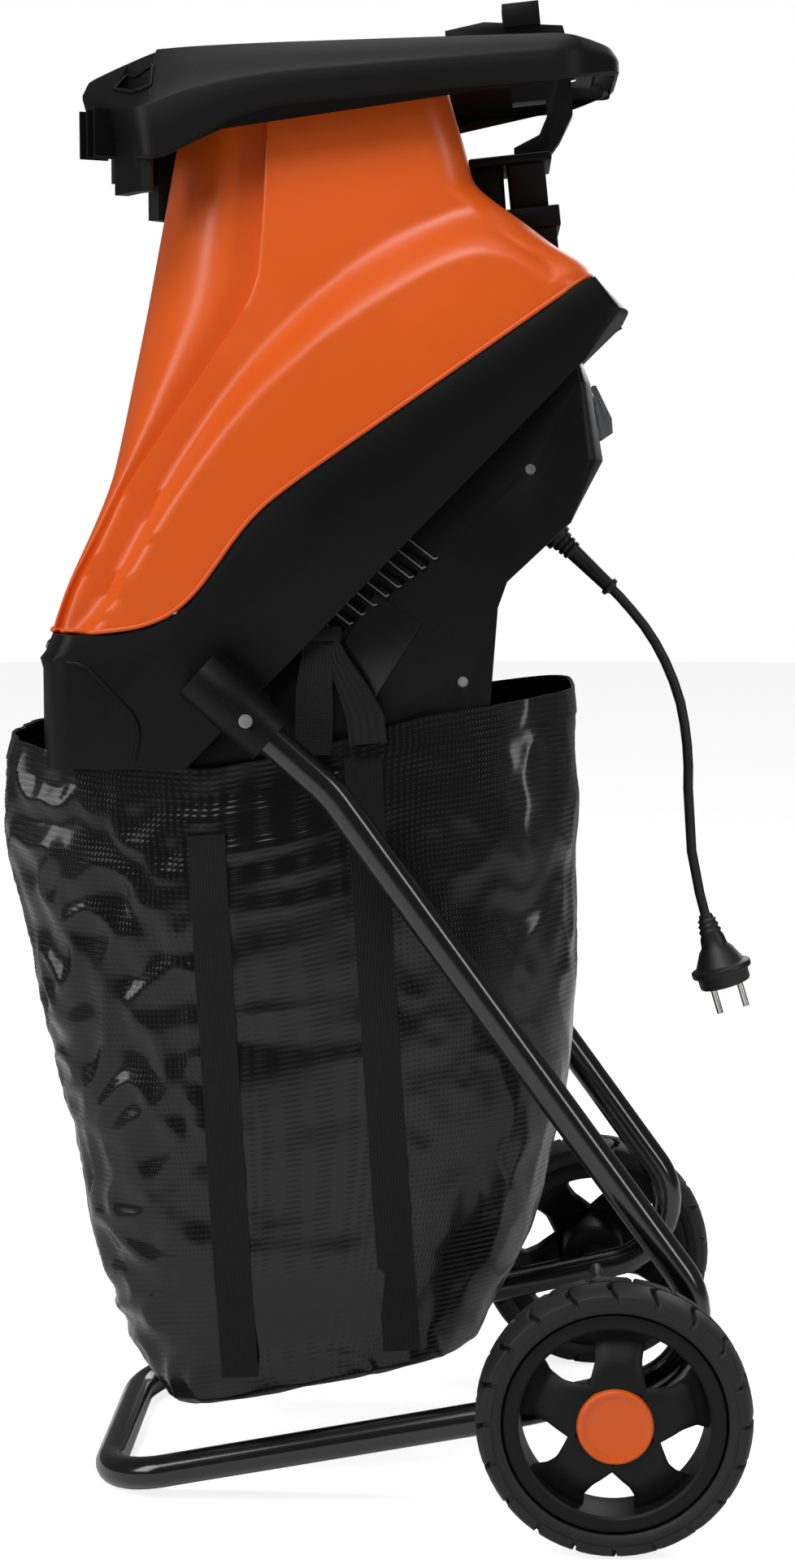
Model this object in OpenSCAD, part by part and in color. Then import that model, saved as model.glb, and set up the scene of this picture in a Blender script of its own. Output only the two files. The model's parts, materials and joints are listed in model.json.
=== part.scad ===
// Electric garden shredder on a wheeled tube frame, with a collection bag under it.
// Millimetres. +X points to the wheels, -X to the foot, +Z up. Ground is Z = 0, the mid-plane is Y = 0.
// "left" is the -Y side and "right" is the +Y side.

/* [Body] */
// Width of the cutter base and of the hood's skirt
body_w = 250; // [200:5:310]
// Wall thickness of the moulded covers
wall = 3; // [2.4:0.2:4]
// How much narrower the motor housing is than the cutter base, on each side
housing_inset = 13; // [8:1:20]
// Width of the hopper tray
tray_w = 256; // [210:2:310]
// Gap between the closed hood and the cutter base
hood_gap = 0.6; // [0.4:0.1:1.5]

/* [Hopper] */
// Length of the hopper mouth, front to rear
mouth_l = 150; // [120:2:180]
// Width of the hopper mouth
mouth_w = 176; // [140:2:200]
// Length of the feed throat where it meets the cutting disc
throat_l = 66; // [50:1:80]
// Width of the feed throat where it meets the cutting disc
throat_w = 96; // [80:1:110]
// Diameter of the hood's hinge pin
hinge_d = 6; // [4:0.5:8]
// Distance between the hood's two hinge ears
hinge_span = 110; // [90:2:140]

/* [Pusher] */
// Thickness of the pusher's blade
blade_t = 25; // [18:1:30]
// Width of the pusher's blade
blade_w = 78; // [60:1:92]
// Gap between the blade and its holder, on each side
blade_gap = 0.8; // [0.4:0.1:1.5]
// How far the top of the pusher leans forward, in degrees
pusher_lean = 6; // [4:1:8]

/* [Frame] */
// Outside diameter of the frame tube
tube_d = 22; // [18:0.5:26]
// Wall of the frame tube
tube_wall = 1.5; // [1:0.1:2.5]
// Gap between a leg's centreline and the side of the cutter base
leg_stand = 25; // [22:1:30]
// Width of the foot at its front corners, centreline to centreline
foot_w = 230; // [190:5:280]
// Centreline radius of the foot's front corners
foot_bend_r = 50; // [35:1:60]
// Centreline radius of the bend behind the axle
heel_bend_r = 50; // [40:1:60]
// Centreline radius of the knee under the leg socket
knee_bend_r = 100; // [60:5:140]
// Gap between the frame tube and the leg socket around it
socket_gap = 0.2; // [0.1:0.05:0.5]

/* [Wheels] */
// Outside diameter of the tyre
wheel_d = 180; // [150:5:220]
// Width of the tyre
tyre_w = 44; // [36:1:52]
// Depth of the tyre, from its tread down to the rim
tyre_depth = 17; // [14:1:26]
// Diameter of the axle
axle_d = 10; // [8:0.5:14]
// Radial gap between the axle and the wheel's bore
axle_gap = 0.06; // [0.03:0.01:0.1]
// Distance from a leg's centreline to its wheel's middle
wheel_offset = 50; // [44:1:60]
// Diameter of the hub cap
cap_d = 50; // [40:1:56]

/* [Drive] */
// Teeth on the motor pinion
pinion_teeth = 12; // [11:1:16]
// Teeth on the cutter's drive gear, a multiple of four
gear_teeth = 52; // [44:4:60]
// Module of the gears
gear_module = 1.5; // [1.25:0.05:1.6]
// Diameter of the cutter spindle
spindle_d = 15; // [12:0.5:18]
// Diameter of the motor shaft
shaft_d = 10; // [8:0.5:12]
// Radial gap between a shaft and the bearing that it runs in
bearing_gap = 0.04; // [0.02:0.01:0.08]
// Diameter of the cutting disc
disc_d = 184; // [160:2:196]
// Thickness of the cutting disc
disc_t = 5; // [4:0.5:8]
// Outside diameter of the motor's field stack
motor_d = 92; // [84:1:96]
// Gap between the armature and the field poles
air_gap = 0.6; // [0.4:0.1:1]

/* [Bag] */
// Gap between the bag's side and the frame tube next to it
bag_gap = 9; // [5:1:20]
// Modelled thickness of the bag's cloth
bag_wall = 2.5; // [2:0.5:4]
// Width of the bag's webbing straps
strap_w = 25; // [20:1:30]

/* [Controls] */
// Diameter of the start and stop buttons
button_d = 16; // [12:1:20]
// Travel of the start and stop buttons
button_travel = 3; // [2:0.5:4]
// Gap round a button in its guide
button_gap = 0.3; // [0.2:0.05:0.5]
// Diameter of the hood's locking knob
knob_d = 30; // [24:1:34]
// Diameter of the locking screw
lock_d = 8; // [6:0.5:10]

/* [Cord] */
// Diameter of the mains cord
cord_d = 7; // [6:0.5:9]

/* [Hidden] */
$fn = 64;
eps = 0.01;
over = 1;

// ---- frame and wheels
axle_x = 166;
axle_z = wheel_d / 2;
rim_d = wheel_d - 2 * tyre_depth;
leg_y = body_w / 2 + leg_stand;
wheel_y = leg_y + wheel_offset;
foot_front_x = -179;
foot_slope = atan((axle_z - tube_d / 2) / (axle_x - foot_front_x));
heel_back = 91.8;                     // from the axle to the corner point behind it, along the foot
socket_at = [-103, 565];              // inner end of the leg tube
knee_at = [-19, 490];
heel_at = [axle_x, axle_z] + heel_back * [cos(foot_slope), sin(foot_slope)];
joint_fwd = 56;                       // from the axle forward to the joint of leg and foot
swage_l = 24;                         // how far the foot's reduced end goes into the leg
swage_gap = 0.1;
foot_taper_at = 84;                   // where the foot tube starts to close in
foot_len = (axle_x - foot_front_x) / cos(foot_slope);
wheel_fn = 96;

// ---- cutting disc: local x runs up and back along the disc, local z is its axis towards the hopper
cut_x = -30;
cut_z = 660;
cut_tilt = 40;
gear_centres = gear_module * (pinion_teeth + gear_teeth) / 2;
motor_x = -gear_centres;
deck_z = -16;                         // underside of the deck under the disc
plate_z = [-30, -18];                 // gear plate, bottom and top
gear_z = [-48, -33];                  // drive gear, bottom and top
frame_z = [-66, -54];                 // motor's upper frame
stack_z = [-130, -80];                // field stack
shaft_z = [-168, -30];                // motor shaft, end to end
bearing_d = 35;
bearing_h = 11;
small_bearing_d = 26;
small_bearing_h = 8;
armature_d = 48;
tail_z = [-166, -156];                // motor's lower bearing bridge

// ---- side outlines, [x, z]
hinge_at = [-214, 581];
split_line = [[-214, 591], [-176, 591], [-140, 596], [-114, 611], [-96, 637], [-74, 668], [-46, 690],
    [140, 819]];
base_rear = [[152, 824], [176, 804], [173, 798], [145, 771]];
base_front = [[-118, 502], [-221, 502], [-221, 567], [-223, 574], [-219, 579]];
hood_front = [[-213, 597], [-204, 620], [-188, 660], [-178, 688], [-154, 809], [-134, 912], [-126, 955]];
hood_rear = [[53, 955], [60, 930], [67, 908], [70, 890], [76, 882], [103, 864], [125, 846], [149, 832],
    [148, 826]];
housing_line = [[145, 771], [151, 757], [160, 706], [138, 665], [95, 626], [89, 609], [84, 540],
    [80, 490], [44, 458], [-8, 447], [-58, 462], [-118, 502]];
tray_line = [[-194, 955], [-186, 962], [-158, 975], [140, 979], [160, 977], [167, 970], [167, 962],
    [150, 953], [120, 946], [54, 939], [-50, 930], [-80, 924], [-125, 899], [-165, 899], [-180, 910]];
hood_top = 955;
hood_foot = [for (p = split_line) p + [0, hood_gap]];
tower_w = 196;                        // width of the hood's upper part
skirt_top = [[148, 826], [147, 836], [90, 824], [-30, 750], [-90, 700], [-140, 640], [-190, 612]];
flare_top = [[148, 826], [149, 834], [120, 848], [70, 850], [-20, 806], [-80, 755], [-130, 700],
    [-170, 640], [-204, 615]];

// ---- pusher, on its own leaning axis
pusher_at = [113, 0, 860];
pusher_tail = 40;                     // blade below the holder's foot
blade_x = -1.5;                       // middle of the blade on the leaning axis

// ---- cord: route of the centreline from the strain relief, in the mid-plane
cord_route = [[169, 0, 617], [174, 0, 612], [182, 0, 603], [191, 0, 592], [199, 0, 580], [206, 0, 567],
    [212, 0, 553], [217, 0, 538], [220, 0, 523], [222, 0, 508], [223, 0, 493], [223, 0, 478],
    [224, 0, 463], [225, 0, 448], [226, 0, 433], [229, 0, 418], [232, 0, 403], [236, 0, 388]];
pin_pitch = 19;                       // standard two-pin plug
pin_d = 4.8;
pin_out = 19;                         // length of a pin outside the plug
pin_root_d = 6;                       // shoulder moulded into the plug
pin_root_l = 12;
plug_at = [236, 0, 388];
plug_lean = 17;
cord_sides = 10;

// ---- laps, fasteners and small hardware
lap_r = 0.05;                         // how much thinner a tube's straights are drawn than its bends
lap_l = 0.5;                          // how far a straight reaches into a bend
screw_d = 5;
screw_head_d = 9;
housing_screw_d = 7;
clip_t = 2;
hub_in = leg_y + tube_d / 2 + 15;     // inner face of the wheel's hub
hub_out = wheel_y + 16;
spoke_n = 5;
socket_len = 60;
socket_dir = heading(socket_at, knee_at);

// ---- hinge and lock of the hood
ear_t = 10;                           // width of a hinge ear
lock_at = [158, 796];                 // middle of the locking knob
lock_dir = heading(hinge_at, lock_at);
lock_bore_z = 7;                      // top of the knob's pocket
lock_l = 44;

// ---- housing: vents, rating plate and bag hooks
vent_n = 9;
vent_from = [-30, 596];
vent_to = [34, 645];
label_at = [5, 580];
label_turn = 58;
hook_at = [-28, 590];

// ---- motor, gears and disc
pole_w = 30;                          // width of a field pole
comm_r = 14;                          // radius of the commutator
tooth_play = 0.84;                    // share of the pitch that a tooth fills
knife_x = 50;                         // middle of a knife along the disc
knife_t = 4;

// ---- tray, throat and pusher
loop_x = [59, 142];                   // rear opening of the tray, front to rear
loop_w = 124;
grip_x = [-176, -146];                // front grip opening
grip_w = 110;
mouth_x = -34;                        // middle of the hopper mouth
throat_top = 969;
throat_x = -50;                       // middle of the throat's lower end, along the disc
throat_foot = 24;                     // height of that end over the disc's underside
collar_z = 2;                         // underside of the holder's collar, on the leaning axis
collar_out = 6;
holder_x = blade_t + 2 * blade_gap + 2 * wall;
holder_y = blade_w + 2 * blade_gap + 2 * wall;
flange_z = [46, 52];                  // guard plate over the blade
grip_t = 24;

// ---- switch panel on the rear face
panel_a = [151, 757];
panel_b = [160, 706];
panel_mid = [155, 735];
panel_dir = heading(panel_a, panel_b) + 90;
button_pitch = 26;
button_base = -9.5;                   // inner end of a button, under the panel
flap_w = 66;

// ---- strain relief and plug
gland_at = [128, 656];
gland_end = [169, 617];
gland_dir = heading(gland_at, gland_end);
gland_len = norm(gland_end - gland_at);
gland_d = 17;
plug_len = 52;

// ---- bag
bag_rim = [[-242, 515], [-165, 505], [-106, 501], [-60, 508], [38, 537], [123, 550]];
bag_half = leg_y - tube_d / 2 - bag_gap;
bag_front = [[-242, 522], [-254, 500], [-256, 470], [-244, 400], [-208, 250], [-186, 140], [-160, 85],
    [-138, 58]];
bag_rear = [[75, 98], [112, 170], [140, 260], [146, 330], [144, 440], [146, 480], [140, 552]];

// ======== helpers
// Extrudes an [x, z] outline across the mid-plane
module across(w) { rotate([90, 0, 0]) linear_extrude(height = w, center = true) children(); }
// Places children in the frame of the cutting disc
module at_disc() { translate([cut_x, 0, cut_z]) rotate([0, -cut_tilt, 0]) children(); }
// Makes a copy on each side of the mid-plane
module both_sides() { children(); mirror([0, 1, 0]) children(); }
// Places children on the leaning axis of the pusher
module at_pusher() { translate(pusher_at) rotate([0, -pusher_lean, 0]) children(); }
module ring(h, r_out, r_in) {
    difference() {
        cylinder(h = h, r = r_out);
        translate([0, 0, -over]) cylinder(h = h + 2 * over, r = r_in);
    }
}
module block(x, y, z) {
    translate([x[0], y[0], z[0]]) cube([x[1] - x[0], y[1] - y[0], z[1] - z[0]]);
}
module rounded(l, w, r) { offset(r = r, $fn = 32) square([l - 2 * r, w - 2 * r], center = true); }
function heading(a, b) = atan2(b[1] - a[1], b[0] - a[0]);
function wrapped(a) = a > 180 ? a - 360 : a < -180 ? a + 360 : a;
function turn_at(p, i) = wrapped(heading(p[i], p[i + 1]) - heading(p[i - 1], p[i]));
function cut_at(p, r, i) = i == 0 || i == len(p) - 1 ? 0 : r[i] * tan(abs(turn_at(p, i)) / 2);
function reversed(p) = [for (i = [len(p) - 1 : -1 : 0]) p[i]];
function toward(a, b, d) = a + (b - a) * d / norm(b - a);

// A tube along a flat polyline with rounded corners. The straight lengths are drawn in by lap_r and
// reach lap_l into each bend, so that every joint is a clean overlap.
module bent_tube(p, r, d, d_in) {
    last = len(p) - 1;
    for (i = [0 : last - 1]) {
        a = toward(p[i], p[i + 1], cut_at(p, r, i) - (i == 0 ? 0 : lap_l));
        b = toward(p[i + 1], p[i], cut_at(p, r, i + 1) - (i == last - 1 ? 0 : lap_l));
        translate([a[0], a[1], 0]) rotate([0, 0, heading(a, b)]) rotate([0, 90, 0])
            linear_extrude(height = norm(b - a)) tube_section(d - 2 * lap_r, d_in + 2 * lap_r);
    }
    for (i = [1 : last - 1]) {
        s = toward(p[i], p[i - 1], cut_at(p, r, i));
        side = turn_at(p, i) < 0 ? -1 : 1;
        translate([s[0], s[1], 0]) rotate([0, 0, heading(p[i - 1], p[i])])
            translate([0, side * r[i], 0]) rotate([0, 0, side > 0 ? -90 : 90 - abs(turn_at(p, i))])
            rotate_extrude(angle = abs(turn_at(p, i))) translate([r[i], 0]) tube_section(d, d_in);
    }
}
module tube_section(d, d_in) {
    difference() {
        circle(d = d);
        circle(d = d_in);
    }
}

// ======== cutter base and covers
module base_outline() { polygon(concat(split_line, base_rear, base_front)); }
module base_hollow() {
    polygon([[-214, 640], [-60, 800], [120, 840], [146, 816], [150, 804], [138, 776], [140, 760],
        [100, 640], [-118 + wall, 480], [-221 + wall, 480], [-221 + wall, 569], [-206, 583]]);
}
module ear_slots(extra) {
    for (y = [-1, 1]) translate([0, y * hinge_span / 2, 0])
        block([-230, -196], [-ear_t / 2 - extra, ear_t / 2 + extra], [570, 604]);
}
module at_lock() { translate([lock_at[0], 0, lock_at[1]]) rotate([0, -lock_dir, 0]) children(); }
module cutter_base() {
    color([0.06, 0.06, 0.065]) difference() {
        union() {
            difference() {
                across(body_w) base_outline();
                across(body_w - 2 * wall) base_hollow();
                across(body_w - 2 * wall) polygon([[-140, 480], [-40, 630], [60, 700], [136, 772],
                    [146, 760], [100, 480]]);
            }
            // deck under the cutting disc
            intersection() {
                across(body_w - 2 * wall + eps) base_outline();
                at_disc() block([-98, 205], [-body_w / 2, body_w / 2], [deck_z, deck_z + 4]);
            }
            // hinge lugs beside each ear
            for (y = [-1, 1], s = [-1, 1])
                translate([hinge_at[0], y * hinge_span / 2 + s * (ear_t + 2), hinge_at[1]])
                    rotate([90, 0, 0]) cylinder(h = ear_t - 2, r = hinge_d / 2 + 2.5, center = true);
            // block that carries the locking screw
            intersection() {
                across(2 * knob_d) base_outline();
                at_lock() block([-24, 24], [-knob_d, knob_d], [lock_bore_z, 40]);
            }
        }
        ear_slots(0.5);
        translate([hinge_at[0], 0, hinge_at[1]]) rotate([90, 0, 0])
            cylinder(h = hinge_span + 60, d = hinge_d, center = true);
        at_lock() translate([0, 0, -40]) cylinder(h = 40 + lock_bore_z, r = knob_d / 2 + 1);
        at_lock() cylinder(h = 80, r = lock_d / 2 + bearing_gap);
        at_disc() translate([0, 0, deck_z - over]) cylinder(h = 10, r = bearing_d / 2 + 4);
    }
}
module motor_housing() {
    w = body_w - 2 * housing_inset;
    color([0.05, 0.05, 0.055]) difference() {
        across(w) polygon(housing_line);
        difference() {
            across(w - 2 * wall) offset(delta = -wall) polygon(housing_line);
            // floor web that keeps chips out of the motor
            across(w) polygon([[-118, 520], [-104, 520], [-100, 490], [-118, 490]]);
        }
        // open where it meets the base
        across(w - 2 * wall) polygon([[-112, 500], [-40, 560], [142, 752], [142, 790], [-60, 700]]);
        for (i = [0 : vent_n - 1], s = [-1, 1])
            translate([vent_from[0] + (vent_to[0] - vent_from[0]) * i / (vent_n - 1), s * w / 2,
                vent_from[1] + (vent_to[1] - vent_from[1]) * i / (vent_n - 1)])
                rotate([0, 38, 0]) cube([24, 4 * wall, 3.6], center = true);
        at_panel() for (s = [-1, 1]) translate([0, s * button_pitch / 2, -12])
            cylinder(h = 20, r = button_d / 2 + button_gap);
        at_gland() translate([0, 0, -12]) cylinder(h = 20, d = gland_d);
        housing_screw_places() cylinder(h = 4 * wall, d = housing_screw_d, center = true);
    }
}
module housing_screw_places() {
    both_sides() for (p = [[110, 700], [66, 560], [-70, 500]])
        translate([p[0], housing_inset - body_w / 2, p[1]]) rotate([-90, 0, 0]) children();
}

module chute_guard() {
    w = body_w - 2 * housing_inset;
    color([0.05, 0.05, 0.055]) difference() {
        across(w) polygon([[-221, 501.7], [-240, 470], [-240, 462], [-120, 462], [-120, 501.7]]);
        across(w - 2 * wall) polygon([[-221 + wall, 510], [-221 + wall, 500], [-240 + wall, 470],
            [-240 + wall, 450], [-120 - wall, 450], [-120 - wall, 510]]);
    }
}
module rating_plate() {
    color([0.02, 0.02, 0.02]) translate([label_at[0], -(body_w / 2 - housing_inset) - 0.4, label_at[1]])
        rotate([90, 0, 0]) linear_extrude(height = 0.8, center = true) rotate(label_turn) rounded(68, 37, 2);
}

// ======== leg sockets, fasteners and frame
module at_socket(s) {
    translate([socket_at[0], s * leg_y, socket_at[1]]) rotate([0, 90 - socket_dir, 0]) children();
}
module leg_socket(s) {
    r = tube_d / 2 + 7;
    color([0.07, 0.07, 0.07]) difference() {
        union() {
            at_socket(s) translate([0, 0, -4]) cylinder(h = socket_len + 4, r = r);
            at_socket(s) translate([-r, s > 0 ? -leg_stand : 0, -4])
                cube([2 * r, leg_stand, socket_len - 14]);
        }
        at_socket(s) cylinder(h = socket_len + 2 * over, r = tube_d / 2 + socket_gap);
        at_socket(s) translate([0, 0, 40]) rotate([90, 0, 0])
            cylinder(h = 3 * r, d = screw_d, center = true);
    }
}
module screw(l) {
    rotate([-90, 0, 0]) {
        translate([0, 0, -3]) cylinder(h = 3, d = screw_head_d);
        cylinder(h = l, d = screw_d);
    }
}
module socket_screws() {
    color("silver") both_sides() at_socket(-1) translate([0, -tube_d / 2 - 7, 40])
        screw(leg_stand + tube_d / 2 + 5);
}
module housing_screws() {
    color("silver") housing_screw_places() translate([0, 0, 0.6])
        cylinder(h = wall, d = housing_screw_d - 0.2);
}

module leg_path(d, d_in) {
    joint = [axle_x, axle_z] - joint_fwd * [cos(foot_slope), sin(foot_slope)];
    bent_tube([socket_at, knee_at, heel_at, joint], [0, knee_bend_r, heel_bend_r, 0], d, d_in);
}
module leg_tube(s) {
    color([0.03, 0.03, 0.03]) difference() {
        translate([0, s * leg_y, 0]) rotate([90, 0, 0]) leg_path(tube_d, tube_d - 2 * tube_wall);
        translate([axle_x, s * leg_y, axle_z]) rotate([90, 0, 0])
            cylinder(h = 2 * tube_d, r = axle_d / 2, center = true);
        at_socket(s) translate([0, 0, 40]) rotate([90, 0, 0])
            cylinder(h = 2 * tube_d, d = screw_d, center = true);
    }
}
module foot_tube() {
    d_in = tube_d - 2 * tube_wall;
    y = foot_w / 2;
    color([0.03, 0.03, 0.03]) translate([axle_x, 0, axle_z]) rotate([0, -foot_slope, 0]) {
        bent_tube([[-joint_fwd, leg_y], [-foot_taper_at, leg_y], [-foot_len, y], [-foot_len, -y],
            [-foot_taper_at, -leg_y], [-joint_fwd, -leg_y]],
            [0, knee_bend_r, foot_bend_r, foot_bend_r, knee_bend_r, 0], tube_d, d_in);
        // reduced ends that plug into the legs
        for (s = [-1, 1]) translate([-joint_fwd, s * leg_y, 0]) rotate([0, 90, 0]) {
            translate([0, 0, -8]) ring(7.5, d_in / 2 + tube_wall / 2, d_in / 2 - tube_wall);
            translate([0, 0, -4]) ring(4 + swage_l, d_in / 2 - swage_gap, d_in / 2 - tube_wall);
        }
    }
}

module axle() {
    color("silver") translate([axle_x, 0, axle_z]) rotate([90, 0, 0])
        cylinder(h = 2 * (hub_out + clip_t + 2), r = axle_d / 2, center = true);
}
module axle_spacers() {
    color([0.1, 0.1, 0.1]) both_sides()
        translate([axle_x, -(leg_y + tube_d / 2 + 0.2), axle_z]) rotate([90, 0, 0])
            ring(14.5, axle_d / 2 + 5, axle_d / 2);
}
module axle_clips() {
    color("silver") both_sides() translate([axle_x, -hub_out - 0.3, axle_z]) rotate([90, 0, 0])
        ring(clip_t, axle_d / 2 + 5, axle_d / 2);
}

// ======== wheels, outer face towards local +Z
module at_wheel(s) {
    translate([axle_x, s * wheel_y, axle_z]) rotate([s < 0 ? 90 : -90, 0, 0]) children();
}
module tyre(s) {
    r = wheel_d / 2;
    ri = rim_d / 2;
    h = tyre_w / 2;
    color([0.05, 0.05, 0.05]) at_wheel(s) rotate_extrude($fn = wheel_fn)
        polygon([[ri, -h + 6], [ri + 4, -h + 2], [r - 10, -h], [r - 4, -h + 1.5], [r, -h + 8],
            [r, h - 8], [r - 4, h - 1.5], [r - 10, h], [ri + 4, h - 2], [ri, h - 6]]);
}
module rim(s) {
    ri = rim_d / 2;
    h = tyre_w / 2;
    hub_r = 24;
    lo = -(wheel_y - hub_in);
    color([0.06, 0.06, 0.06]) at_wheel(s) difference() {
        union() {
            rotate_extrude($fn = wheel_fn) polygon([[ri - 12, -h + 4], [ri, -h + 4], [ri, h - 5],
                [ri - 6, h - 3], [ri - 12, h - 6]]);
            translate([0, 0, lo]) cylinder(h = hub_out - wheel_y - lo, r = hub_r);
            translate([0, 0, hub_out - wheel_y - eps]) ring(2, cap_d / 2 + 3, cap_d / 2);
            translate([0, 0, hub_out - wheel_y - 6]) ring(6, cap_d / 2 + 3, hub_r - 2);
            for (i = [0 : spoke_n - 1]) rotate([0, 0, 90 - 3 + 72 * i])
                translate([0, 0, -8]) linear_extrude(height = 16)
                    polygon([[-15, hub_r - 3], [-9, hub_r + 18], [-17, ri - 8], [17, ri - 8],
                        [9, hub_r + 18], [15, hub_r - 3]]);
        }
        cylinder(h = 4 * tyre_w, r = axle_d / 2 + axle_gap, center = true);
    }
}
module hub_cap(s) {
    z = hub_out - wheel_y;
    color([0.85, 0.27, 0.05]) at_wheel(s) difference() {
        translate([0, 0, z]) cylinder(h = 8, d = cap_d - 0.2);
        translate([0, 0, z - over]) cylinder(h = 6 + over, r = axle_d / 2 + 8);
    }
}

// ======== motor and gearing
module at_motor() { at_disc() translate([motor_x, 0, 0]) children(); }
module stator_core() {
    color([0.45, 0.45, 0.47]) at_motor() translate([0, 0, stack_z[0]])
        linear_extrude(height = stack_z[1] - stack_z[0]) difference() {
            union() {
                difference() {
                    circle(d = motor_d);
                    circle(d = motor_d - 18);
                }
                intersection() {
                    circle(d = motor_d - 16);
                    square([motor_d, pole_w], center = true);
                }
            }
            circle(d = armature_d + 2 * air_gap);
        }
}
module field_coils() {
    color([0.72, 0.38, 0.16]) at_motor() translate([0, 0, stack_z[0] - 8])
        linear_extrude(height = stack_z[1] - stack_z[0] + 11) difference() {
            circle(d = motor_d - 19);
            circle(d = armature_d + 4);
            square([motor_d, pole_w + 1], center = true);
        }
}
module motor_frame() {
    r = motor_d / 2;
    color([0.62, 0.62, 0.64]) {
        at_motor() {
            // lower bridge with the tail bearing's seat
            difference() {
                union() {
                    translate([0, 0, tail_z[0]]) cylinder(h = 10, r = small_bearing_d / 2 + 4);
                    for (y = [-1, 1]) {
                        block([-9, 9], y > 0 ? [12, r - 2] : [2 - r, -12], [tail_z[0], tail_z[0] + 4]);
                        block([-9, 9], y > 0 ? [r - 6, r - 2] : [2 - r, 6 - r], [tail_z[0], stack_z[0]]);
                    }
                }
                translate([0, 0, tail_z[0] - over]) cylinder(h = 20, d = small_bearing_d);
            }
        }
        // upper frame between the motor and the gears
        at_disc() difference() {
            translate([0, 0, frame_z[0]]) linear_extrude(height = frame_z[1] - frame_z[0])
                bearing_plate(r);
            translate([0, 0, frame_z[0] - over]) cylinder(h = 20, d = bearing_d);
            translate([motor_x, 0, frame_z[0] - over]) cylinder(h = 20, d = small_bearing_d);
        }
    }
}
// Outline of a plate that spans the motor and the spindle
module bearing_plate(r) {
    union() {
        translate([motor_x, 0]) circle(r = r);
        circle(r = bearing_d / 2 + 8);
        square([1.2 * gear_centres, bearing_d + 16], center = true);
    }
}
module gear_plate() {
    color([0.66, 0.66, 0.68]) at_disc() difference() {
        union() {
            translate([0, 0, plate_z[0]]) linear_extrude(height = plate_z[1] - plate_z[0])
                bearing_plate(motor_d / 2);
            // pillars between the two plates
            for (a = [100, 140, 220, 260])
                translate([motor_x, 0, frame_z[1]]) rotate([0, 0, a]) translate([motor_d / 2 - 5, 0, 0])
                    cylinder(h = plate_z[0] - frame_z[1] + over, r = 4);
        }
        translate([0, 0, plate_z[0] - over]) cylinder(h = 20, d = bearing_d);
        translate([motor_x, 0, plate_z[0] - over]) cylinder(h = 20, r = shaft_d / 2 + 3);
    }
}
module bearing(h, d, bore) {
    ring(h, d / 2, bore / 2 + bearing_gap);
}
module armature_bearings() {
    color("silver") at_motor() {
        translate([0, 0, tail_z[0] + 1]) bearing(small_bearing_h, small_bearing_d, shaft_d);
        translate([0, 0, frame_z[0] + 2]) bearing(small_bearing_h, small_bearing_d, shaft_d);
    }
}
module spindle_bearings() {
    color("silver") at_disc() {
        translate([0, 0, plate_z[0] + 0.5]) bearing(bearing_h, bearing_d, spindle_d);
        translate([0, 0, frame_z[0] + 0.5]) bearing(bearing_h, bearing_d, spindle_d);
    }
}
module brush_gear() {
    color([0.75, 0.6, 0.3]) at_motor() for (x = [-1, 1])
        block(x > 0 ? [comm_r + 0.3, comm_r + 26] : [-comm_r - 26, -comm_r - 0.3], [-6, 6], [-150, -140]);
}
module motor_shaft() {
    color("silver") at_motor() translate([0, 0, shaft_z[0]])
        cylinder(h = shaft_z[1] - shaft_z[0], d = shaft_d);
}
module armature_core() {
    color([0.4, 0.4, 0.42]) at_motor() translate([0, 0, stack_z[0]])
        linear_extrude(height = stack_z[1] - stack_z[0]) difference() {
            circle(d = armature_d);
            circle(d = shaft_d);
            for (i = [0 : 11]) rotate([0, 0, 30 * i])
                translate([armature_d / 2 - 5, 0]) circle(d = 5, $fn = 16);
        }
}
module commutator() {
    color([0.72, 0.45, 0.2]) at_motor() translate([0, 0, -152]) ring(14, comm_r, shaft_d / 2);
}
module cooling_fan() {
    color([0.1, 0.1, 0.1]) at_motor() translate([0, 0, -71.5]) {
        ring(4, 32, shaft_d / 2);
        for (i = [0 : 8]) rotate([0, 0, 40 * i]) translate([14, -1, -4]) cube([17, 2, 4 + eps]);
    }
}
// Straight-sided teeth with a little play
function gear_tooth(n, m, i) = let (r = m * n / 2, a = 360 / n, w = a / 4 * tooth_play) [
    for (p = [[r - 1.25 * m, -1.5 * w], [r, -w], [r + m, -0.42 * w], [r + m, 0.42 * w], [r, w],
        [r - 1.25 * m, 1.5 * w]])
        [p[0] * cos(a * i + p[1]), p[0] * sin(a * i + p[1])]];
module spur(n, h, bore) {
    pts = [for (i = [0 : n - 1]) each gear_tooth(n, gear_module, i)];
    linear_extrude(height = h) difference() {
        polygon(pts);
        circle(d = bore);
    }
}
module pinion() {
    color([0.6, 0.6, 0.62]) at_motor() translate([0, 0, gear_z[0] - 1]) rotate([0, 0, 180 / pinion_teeth])
        spur(pinion_teeth, gear_z[1] - gear_z[0] + 2, shaft_d);
}
module drive_gear() {
    color([0.6, 0.6, 0.62]) at_disc() translate([0, 0, gear_z[0]])
        spur(gear_teeth, gear_z[1] - gear_z[0], spindle_d);
}
module spindle() {
    color("silver") at_disc() translate([0, 0, frame_z[0] - 4])
        cylinder(h = -frame_z[0] + 4 + disc_t, d = spindle_d);
}

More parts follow.
